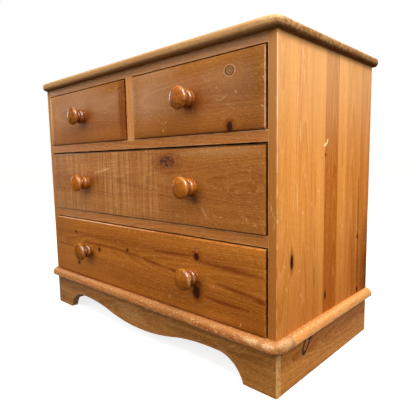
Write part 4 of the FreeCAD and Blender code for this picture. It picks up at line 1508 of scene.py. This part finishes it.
class DrawerFronts:
    """The boards of the four drawer fronts, with the knots and marks that tell them apart."""

    @classmethod
    def by_drawer(cls) -> dict[str, Board]:
        """The fronts, by the names of their drawers."""
        return {"upper_left": cls._upper_left(), "upper_right": cls._upper_right(), "middle": cls._middle(),
                "bottom": cls._bottom()}

    @staticmethod
    def _upper_left() -> Board:
        """The small front on the left: a painted sheen and a painted glow, with a dark reddish band at its
        right end.

        Returns:
            The board.
        """
        marks = (
            # Painted glow over the left of the face.
            FRONT.mark(Mark.GOLDEN_GLOW, 75.0, (0.05, 0.15), (0.05, 0.90)),
            # Painted sheen along the top.
            FRONT.mark(Mark.SHEEN_BAND, 48.0, (0.05, 0.92), (0.80, 0.92)),
            # Painted shade where the knob keeps the sheen off; deeper edges where the painted sheen stops.
            FRONT.mark(Mark.KNOB_SHEEN_SHADOW, 50.0, (0.565, 0.42), (0.575, 0.58)),
            FRONT.mark(Mark.DEEPENED, 118.0, (-0.1, -0.06), (1.0, -0.06)),
            FRONT.mark(Mark.DEEPENED, 80.0, (-0.02, 0.0), (-0.02, 0.7)),
            # Bare wood along the left arris, partly wear and partly a painted highlight.
            FRONT.mark(Mark.BARE, 6.0, (0.012, 0.50), (0.012, 0.98)),
            # Painted glow along the left edge.
            FRONT.mark(Mark.GOLDEN_GLOW, 14.0, (0.02, 0.15), (0.02, 0.95)),
            FRONT.mark(Mark.DARK_RED_BAND, 27.0, (0.985, -0.3), (0.985, 1.3)),
            FRONT.mark(Mark.RESIN, 3.0, (0.955, 0.05), (0.950, 0.95)),
            FRONT.mark(Mark.DARK_MARK, 4.0, (0.925, 0.855), (0.975, 0.88)),
        )
        # Painted sheen in the middle of the face, and painted shade towards its bottom.
        return replace(FRONT_BOARD, tone=HIGH_DRAWER, strokes=marks, painted_sheen=0.31, painted_low_shade=0.15,
                       rubbed_share=0.3, glint=9.0)

    @staticmethod
    def _upper_right() -> Board:
        """The small front on the right: a painted sheen, with a ringed knot above and a dark one below.

        Returns:
            The board.
        """
        marks = (
            # Painted sheen over the left and along the top.
            FRONT.mark(Mark.SHEEN_BAND, 140.0, (0.12, 0.25), (0.14, 0.90)),
            FRONT.mark(Mark.SHEEN_BAND, 48.0, (0.0, 0.94), (0.42, 0.94)),
            # Painted shade where the knob keeps the sheen off; a deeper bottom edge where the painted sheen
            # stops.
            FRONT.mark(Mark.KNOB_SHEEN_SHADOW, 72.0, (0.545, 0.38), (0.56, 0.56)),
            FRONT.mark(Mark.DEEPENED, 60.0, (-0.1, -0.06), (1.1, -0.06)),
            # Painted highlight along the left arris.
            FRONT.mark(Mark.SHEEN_BAND, 9.0, (0.015, 0.15), (0.015, 0.95)),
            # Painted shade towards the right end.
            FRONT.mark(Mark.PAINTED_SHADE, 85.0, (0.93, 0.0), (0.93, 1.0)),
            # Painted highlight along the right arris.
            upright(Mark.ARRIS_HIGHLIGHT, 1.8, (1.0, 0.03), 0.04, 0.97),
            FRONT.mark(Mark.SCUFF, 0.9, (0.698, 0.437), (0.722, 0.405), (0.770, 0.470)),
            *FRONT.ticks(Mark.SCUFF, 1.3, (0.006, -0.02), (0.285, 0.20), (0.310, 0.21), (0.827, 0.50),
                         (0.992, 0.616), (0.985, 0.28)),
        )
        knots = (FRONT.knot(KnotKind.RINGED, 10.2, 8.0, (0.790, 0.776)),
                 FRONT.knot(KnotKind.DEAD, 7.5, 9.0, (0.786, 0.066)))
        # Painted sheen in the middle of the face, and painted shade towards its bottom.
        return replace(FRONT_BOARD, tone=HIGH_DRAWER, seed=32.0, knots=knots, strokes=marks, painted_sheen=0.2,
                       painted_low_shade=0.2, rubbed_share=0.35, scratched=0.2, glint=9.0)

    @staticmethod
    def _middle() -> Board:
        """The middle front: rippled grain on the left, a feathered knot, an eye of rings on the right, and
        painted shade.

        Returns:
            The board.
        """
        marks = [
            # Painted shade along the gaps above and below the front.
            FRONT.mark(Mark.CREVICE_SHADE, 3.2, (0.0, 1.0), (1.0, 1.0)),
            FRONT.mark(Mark.CREVICE_SHADE, 2.0, (0.0, 0.0), (1.0, 0.0)),
            # Painted shade where the left knob would keep a sheen off.
            FRONT.mark(Mark.KNOB_SHEEN_SHADOW, 26.0, (0.270, 0.48), (0.280, 0.56)),
            # Painted shade: deeper shadows below both knobs, and a darker left end.
            FRONT.mark(Mark.PAINTED_SHADE, 42.0, (0.222, 0.34), (0.222, 0.25)),
            FRONT.mark(Mark.PAINTED_SHADE, 40.0, (0.760, 0.36), (0.785, 0.30)),
            FRONT.mark(Mark.PAINTED_SHADE, 110.0, (-0.02, -0.1), (0.0, 1.1)),
            FRONT.mark(Mark.SCUFF, 1.8, (0.290, 0.669), (0.345, 0.690)),
            FRONT.mark(Mark.SCUFF, 3.2, (0.330, 0.690), (0.386, 0.738)),
            # A dark smudge below the right knob, partly dirt and partly a painted shadow of the knob.
            FRONT.mark(Mark.DARK_MARK, 17.0, (0.765, 0.37), (0.785, 0.31)),
            FRONT.mark(Mark.DARK_MARK, 1.2, (0.630, 0.385), (0.659, 0.361), (0.690, 0.355)),
            FRONT.mark(Mark.FADED, 14.0, (0.70, 0.93), (1.0, 0.93)),
        ]
        scrapes = ((0.05, (0.803, 0.22)), (0.04, (0.812, 0.16)), (0.03, (0.936, 0.18)), (0.03, (0.948, 0.15)),
                   (0.02, (0.410, 0.16)), (0.02, (0.432, 0.13)), (0.06, (0.614, 0.24)), (0.03, (0.625, 0.15)),
                   (0.03, (0.705, 0.12)), (0.04, (0.972, 0.10)))
        for long, spot in scrapes:
            marks += FRONT.ticks(Mark.SCRAPE, 5.5, (0.006, -long), spot)
        marks += FRONT.ticks(Mark.SCRAPE, 2.0, (0.012, 0.005), (0.845, 0.160), (0.865, 0.155), (0.755, 0.625))
        knots = (FRONT.knot(KnotKind.FEATHERED, 26.0, 13.0, (0.667, 0.822)),
                 FRONT.knot(KnotKind.EYE, 15.0, 6.0, (0.930, 0.473), lift=6.0),
                 FRONT.knot(KnotKind.EYE, 6.0, 3.0, (0.986, 0.657)))
        return replace(FRONT_BOARD, seed=33.0, knots=knots, strokes=tuple(marks), ripple=Ripple(0.0, 0.70),
                       rubbed_share=0.06)

    @staticmethod
    def _bottom() -> Board:
        """The bottom front: six knots, long reddish streaks of resin, a painted highlight on its top arris
        and painted shade.

        Returns:
            The board.
        """
        marks = (
            FRONT.mark(Mark.RESIN, 7.0, (0.393, 0.632), (0.524, 0.585), (0.663, 0.515), (0.705, 0.503)),
            FRONT.mark(Mark.RESIN, 6.0, (0.004, 0.509), (0.123, 0.485)),
            FRONT.mark(Mark.RESIN, 7.0, (0.600, 0.725), (0.764, 0.766)),
            FRONT.mark(Mark.RESIN, 15.0, (0.788, 0.719), (0.995, 0.674)),
            FRONT.mark(Mark.RESIN, 11.0, (0.850, 0.480), (0.998, 0.415)),
            FRONT.mark(Mark.RESIN, 9.0, (0.808, 0.275), (0.950, 0.250)),
            FRONT.mark(Mark.RESIN, 6.0, (0.20, 0.62), (0.40, 0.63)),
            FRONT.mark(Mark.RESIN, 10.0, (0.975, 0.405), (1.0, 0.390)),
            FRONT.mark(Mark.DARK_MARK, 1.2, (0.144, 0.766), (0.196, 0.775)),
            # Painted highlight along the top arris, thinner to the right.
            FRONT.mark(Mark.ARRIS_HIGHLIGHT, 2.6, (0.005, 1.0), (0.38, 1.0)),
            FRONT.mark(Mark.ARRIS_HIGHLIGHT, 2.2, (0.38, 1.0), (0.60, 1.0)),
            FRONT.mark(Mark.ARRIS_HIGHLIGHT, 1.8, (0.60, 1.0), (0.76, 1.0)),
            FRONT.mark(Mark.ARRIS_HIGHLIGHT, 1.5, (0.76, 1.0), (0.995, 1.0)),
            # Painted shade at the left end.
            FRONT.mark(Mark.PAINTED_SHADE, 130.0, (-0.02, 0.0), (0.02, 1.0)),
            # A deeper tone at the bottom right.
            FRONT.mark(Mark.DEEPENED, 75.0, (0.90, -0.10), (1.02, 0.10)),
            *FRONT.ticks(Mark.SCUFF, 1.6, (0.003, 0.03), (0.926, 0.058), (0.664, 0.135)),
        )
        knots = (
            FRONT.knot(KnotKind.DEAD, 6.0, 2.5, (0.144, 0.766)),
            FRONT.knot(KnotKind.DEAD, 4.5, 5.5, (0.299, 0.544)),
            FRONT.knot(KnotKind.DEAD, 4.5, 3.5, (0.465, 0.649)),
            FRONT.knot(KnotKind.DEAD, 6.0, 5.0, (0.156, 0.222)),
            FRONT.knot(KnotKind.DEAD, 7.5, 8.0, (0.777, 0.766)),
            FRONT.knot(KnotKind.DEAD, 10.5, 13.5, (0.775, 0.298)),
        )
        return replace(FRONT_BOARD, tone=LOW_DRAWER, seed=34.0, knots=knots, strokes=marks, dings=0.1,
                       rubbed_share=0.35, scratched=0.2)


@dataclass(frozen=True)
class KnobTone:
    """Gloss varnish on a turned knob.

    It has light and dark wood, a rim that is more or less worn, and a shine on its left that hands have left.
    """

    light: str
    dark: str
    worn: float
    shine: float


KNOB_TONES = {
    "upper": KnobTone("#b66826", "#562608", 0.3, 0.26),
    "middle": KnobTone("#ce781c", "#82420c", 0.4, 0.14),
    "bottom": KnobTone("#ba6e20", "#683408", 0.5, 0.0),
}


@dataclass
class TurnedKnob:
    """A turned knob: end grain on its face, long grain on its sides, and gloss that hands have dulled below.

    Lengths are millimetres. The polished and the handled part are where the surface faces that way.
    """

    frame: dict
    groups: WoodGroups
    name: str
    tone: KnobTone
    seed: float
    ring: float = 2.6
    pith: Spot = (30.0, 16.0)
    slope: float = 0.05
    wander: float = 6.0
    ring_share: float = 0.8
    streak_share: float = 1.4
    line_share: float = 1.2
    lighter: float = 0.95
    # Painted shade in the groove behind the head, between two radii in millimetres.
    groove: Span = (17.0, 13.0)
    groove_shade: float = 0.25
    head_depth: float = 16.0
    rim: Span = (2.2, 0.4)
    rim_scale: float = 110.0
    rim_patch: Span = (0.35, 0.65)
    polished: Place = (0.80, -0.30, 0.52)
    polished_reach: Span = (0.58, 0.92)
    handled: Place = (-0.46, -0.85, 0.25)
    handled_reach: Span = (0.8, 0.97)
    coat: float = 0.95
    dulled_coat: float = 0.02
    coat_ior: float = 1.8
    coat_roughness: float = 0.06
    roughness: float = 0.22
    fibre_roughness: float = 0.15
    relief: float = 0.05
    ring_depth: float = 0.4

    def __post_init__(self) -> None:
        """Takes the knob's box from the frame."""
        self.low, self.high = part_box(self.name)

    def dress(self) -> None:
        """Gives the knob its varnished wood and reports it."""
        material, graph = new_material("knob_" + self.name)
        point = graph.add("TexCoord").outputs["Object"]
        part = graph.split(graph.vector("SUBTRACT", point, (self.low + self.high) / 2))
        figure = graph.use(
            self.groups.figure, point=graph.joined(part["Y"], part["X"], part["Z"]),
            pith=(0.0, self.pith[0] * MM, self.pith[1] * MM), slope=self.slope, ring=self.ring * MM,
            wander=self.wander * MM, seed=self.seed)
        felt = graph.fill(graph.add("Bump"), {
            "Strength": self.relief, "Distance": self.ring_depth * MM, "Height": figure.outputs["Ring"]})
        graph.fill(graph.shader, {
            "Base Color": self._colour(graph, point, part, figure),
            "Roughness": graph.math("MULTIPLY_ADD", figure.outputs["Fibre"], self.fibre_roughness,
                                    self.roughness),
            "Specular IOR Level": 0.0,
            "Coat Weight": graph.math("MULTIPLY_ADD", self._gloss(graph), self.coat, self.dulled_coat),
            "Coat IOR": self.coat_ior,
            "Coat Roughness": self.coat_roughness,
            "Normal": felt.outputs[0],
        })
        self.frame["nodes"][self.name].material_slots[0].material = material
        LOG.info("dressed %s as a turned knob", self.name)

    def _colour(self, graph: Graph, point: Socket, part: dict[str, Socket], figure: bpy.types.Node) -> Socket:
        """Mixes the wood's colours, the painted shade round the neck and the pale worn rim.

        Args:
            graph: Where to add the nodes.
            point: The point on the surface.
            part: The point's distances from the knob's middle.
            figure: The node with the figure.

        Returns:
            The knob's colour.
        """
        dark = graph.product(figure.outputs["Ring"], self.ring_share)
        dark = graph.math("MULTIPLY_ADD", figure.outputs["Streak"], self.streak_share, dark)
        dark = graph.math("MULTIPLY_ADD", figure.outputs["Line"], self.line_share, dark)
        dark = graph.math("SUBTRACT", dark, self.lighter)
        colour = graph.mix(dark, tint(self.tone.light), tint(self.tone.dark))
        off_axis = graph.vector("LENGTH", graph.joined(part["X"], 0.0, part["Z"]))
        behind = graph.math("GREATER_THAN", graph.split(point)["Y"], self.low.y + self.head_depth * MM)
        groove = graph.fade(off_axis, *(radius * MM for radius in self.groove))
        # Painted shade in the groove behind the head.
        colour = graph.mix(graph.product(groove, behind, self.groove_shade), colour, tint(UNDERSIDE_SHADE))
        radius = (self.high.x - self.low.x) / 2
        rim = graph.fade(off_axis, *(radius - inside * MM for inside in self.rim))
        patchy = graph.fade(graph.noise(point, self.rim_scale, detail=3.0), *self.rim_patch)
        return graph.mix(graph.product(rim, patchy, self.tone.worn), colour, tint(RUBBED_RIM))

    def _gloss(self, graph: Graph) -> Socket:
        """Finds where the varnish still shines.

        Args:
            graph: Where to add the nodes.

        Returns:
            How glossy each point is, from 0 to 1.
        """
        normal = graph.add("NewGeometry").outputs["Normal"]
        polished = graph.fade(graph.vector("DOT_PRODUCT", normal, self.polished), *self.polished_reach)
        handled = graph.fade(graph.vector("DOT_PRODUCT", normal, self.handled), *self.handled_reach)
        return graph.math("MAXIMUM", polished, graph.product(handled, self.tone.shine))


@dataclass
class SteelFinish:
    """Zinc-plated steel for screws and pins, a little cloudy."""

    cloud_scale: float = 900.0
    cloud_roughness: float = 0.3
    roughness: float = 0.2

    def __post_init__(self) -> None:
        """Makes the one material that they share."""
        self.material, graph = new_material("zinc_plated_steel")
        cloudy = graph.noise(graph.add("TexCoord").outputs["Object"], self.cloud_scale, detail=3.0)
        graph.fill(graph.shader, {
            "Metallic": 1.0,
            "Base Color": graph.mix(cloudy, tint(DULL_ZINC), tint(BRIGHT_ZINC)),
            "Roughness": graph.math("MULTIPLY_ADD", cloudy, self.cloud_roughness, self.roughness),
        })

    def dress(self, node: bpy.types.Object) -> None:
        """Gives one set of fasteners the steel and reports it."""
        node.material_slots[0].material = self.material
        LOG.info("dressed %s as steel", node.name)


@dataclass(frozen=True)
class Lamp:
    """A soft studio lamp: where it stands, what it faces, its power, and its width and height."""

    name: str
    place: Place
    faces: Place
    watts: float
    width: float
    height: float


@dataclass
class Studio:
    """The pale floor, the soft light and the camera."""

    eye: Place = (0.819, -0.800, 0.454)
    azimuth: float = 42.90
    elevation: float = 6.75
    roll: float = -1.01
    lens: float = 34.63
    sensor: float = 36.0
    floor_reach: float = 60.0
    floor_glow: float = 0.8
    ambient: float = 0.45
    lamps: tuple[Lamp, ...] = (
        Lamp("key", (1.6, -0.55, 2.0), (0.42, 0.0, 0.45), 68.0, 1.3, 2.2),
        Lamp("fill", (-0.6, -2.3, 1.3), (0.0, -0.2, 0.45), 24.0, 2.0, 2.0),
        Lamp("window", (-2.1, -0.42, 0.95), (-0.1, -0.2, 0.5), 9.0, 0.3, 1.2),
        Lamp("overhead", (0.1, -1.1, 2.1), (0.0, -0.1, 0.3), 6.0, 0.6, 0.6),
        Lamp("rear", (-0.9, 2.6, 1.3), (0.0, 0.2, 0.35), 34.0, 1.8, 1.8),
    )

    def build(self) -> None:
        """Sets up the floor, the lamps, the surroundings and the camera."""
        self._floor()
        self._surroundings()
        for lamp in self.lamps:
            self._lamp(lamp)
        self._camera()
        bpy.context.scene.view_settings.view_transform = "Standard"

    def _floor(self) -> None:
        """Lays a wide floor under the chest."""
        reach = self.floor_reach
        mesh = bpy.data.meshes.new("floor")
        corners = [(-reach, -reach, 0.0), (reach, -reach, 0.0), (reach, reach, 0.0), (-reach, reach, 0.0)]
        mesh.from_pydata(corners, [], [(0, 1, 2, 3)])
        mesh.materials.append(self._floor_material())
        floor = bpy.data.objects.new("floor", mesh)
        bpy.context.scene.collection.objects.link(floor)

    def _floor_material(self) -> bpy.types.Material:
        """Makes a floor that the eye sees as white, with the chest's soft shadow on it.

        Returns:
            The floor's material, which is darker where it only lights the chest.
        """
        material, graph = new_material("pale_floor")
        graph.tree.nodes.clear()
        matt = graph.fill(graph.add("BsdfDiffuse"), {"Color": tint(FLOOR_SEEN)})
        glow = graph.fill(graph.add("Emission"), {"Color": tint(WHITE), "Strength": self.floor_glow})
        bright = graph.fed(graph.add("AddShader"), matt.outputs[0], glow.outputs[0])
        under = graph.fill(graph.add("BsdfDiffuse"), {"Color": tint(FLOOR_LIGHTING)})
        floor = graph.fed(graph.add("MixShader"), self._seen(graph), under.outputs[0], bright.outputs[0])
        graph.fill(graph.add("OutputMaterial"), {"Surface": floor.outputs[0]})
        return material

    @staticmethod
    def _seen(graph: Graph) -> Socket:
        """Tells what the eye sees, straight or in a reflection, from what only lights the chest.

        Args:
            graph: Where to add the nodes.

        Returns:
            1 for what is seen, and 0 for the rest.
        """
        ray = graph.add("LightPath").outputs
        seen = graph.math("MAXIMUM", ray["Is Camera Ray"], ray["Is Glossy Ray"])
        return graph.math("MAXIMUM", seen, ray["Is Transmission Ray"])

    def _surroundings(self) -> None:
        """Makes the surroundings white to the eye and a plain soft light to the chest."""
        world = bpy.data.worlds.new("surroundings")
        world.use_nodes = True
        graph = Graph(world.node_tree)
        strength = graph.math("MULTIPLY_ADD", self._seen(graph), 1.0 - self.ambient, self.ambient)
        graph.fill(graph.tree.nodes["Background"], {"Color": tint(WHITE), "Strength": strength})
        bpy.context.scene.world = world

    @staticmethod
    def _lamp(lamp: Lamp) -> None:
        """Hangs one soft lamp.

        Args:
            lamp: The lamp.
        """
        light = bpy.data.lights.new(lamp.name, "AREA")
        light.shape = "ELLIPSE"
        light.size = lamp.width
        light.size_y = lamp.height
        light.energy = lamp.watts
        holder = bpy.data.objects.new(lamp.name, light)
        holder.location = lamp.place
        holder.rotation_euler = (Vector(lamp.faces) - Vector(lamp.place)).to_track_quat("-Z", "Y").to_euler()
        bpy.context.scene.collection.objects.link(holder)

    def _camera(self) -> None:
        """Stands the camera where the photograph was taken from."""
        turn, rise, roll = (math.radians(angle) for angle in (self.azimuth, self.elevation, self.roll))
        back = Vector((math.sin(turn) * math.cos(rise), -math.cos(turn) * math.cos(rise), math.sin(rise)))
        right = Vector((math.cos(turn), math.sin(turn), 0.0))
        up = back.cross(right)
        level = right * math.cos(roll) + up * math.sin(roll)
        plumb = up * math.cos(roll) - right * math.sin(roll)
        camera = bpy.data.cameras.new("camera")
        camera.lens = self.lens
        camera.sensor_width = self.sensor
        holder = bpy.data.objects.new("camera", camera)
        turned = Matrix((level, plumb, back)).transposed().to_4x4()
        holder.matrix_world = Matrix.Translation(self.eye) @ turned
        bpy.context.scene.collection.objects.link(holder)
        bpy.context.scene.camera = holder


def main() -> None:
    """Builds the studio and dresses the chest, sub-assembly by sub-assembly."""
    logging.basicConfig(level=logging.INFO, format="%(name)s: %(message)s")
    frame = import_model()
    Studio().build()
    groups = WoodGroups()
    Carcase(frame, groups).dress()
    Plinth(frame, groups).dress()
    for number, (name, front) in enumerate(DrawerFronts.by_drawer().items()):
        DrawerBox(frame, groups, name, front, DRAWER_SEED + number).dress()
    steel = SteelFinish()
    for number, (name, node) in enumerate(frame["nodes"].items()):
        if "screw" in name or "pins" in name:
            steel.dress(node)
        elif "knob" in name:
            tone = KNOB_TONES[name.split("_")[0]]
            TurnedKnob(frame, groups, name, tone, KNOB_SEED + number * KNOB_SEED_STEP).dress()


if __name__ == "__main__":
    main()
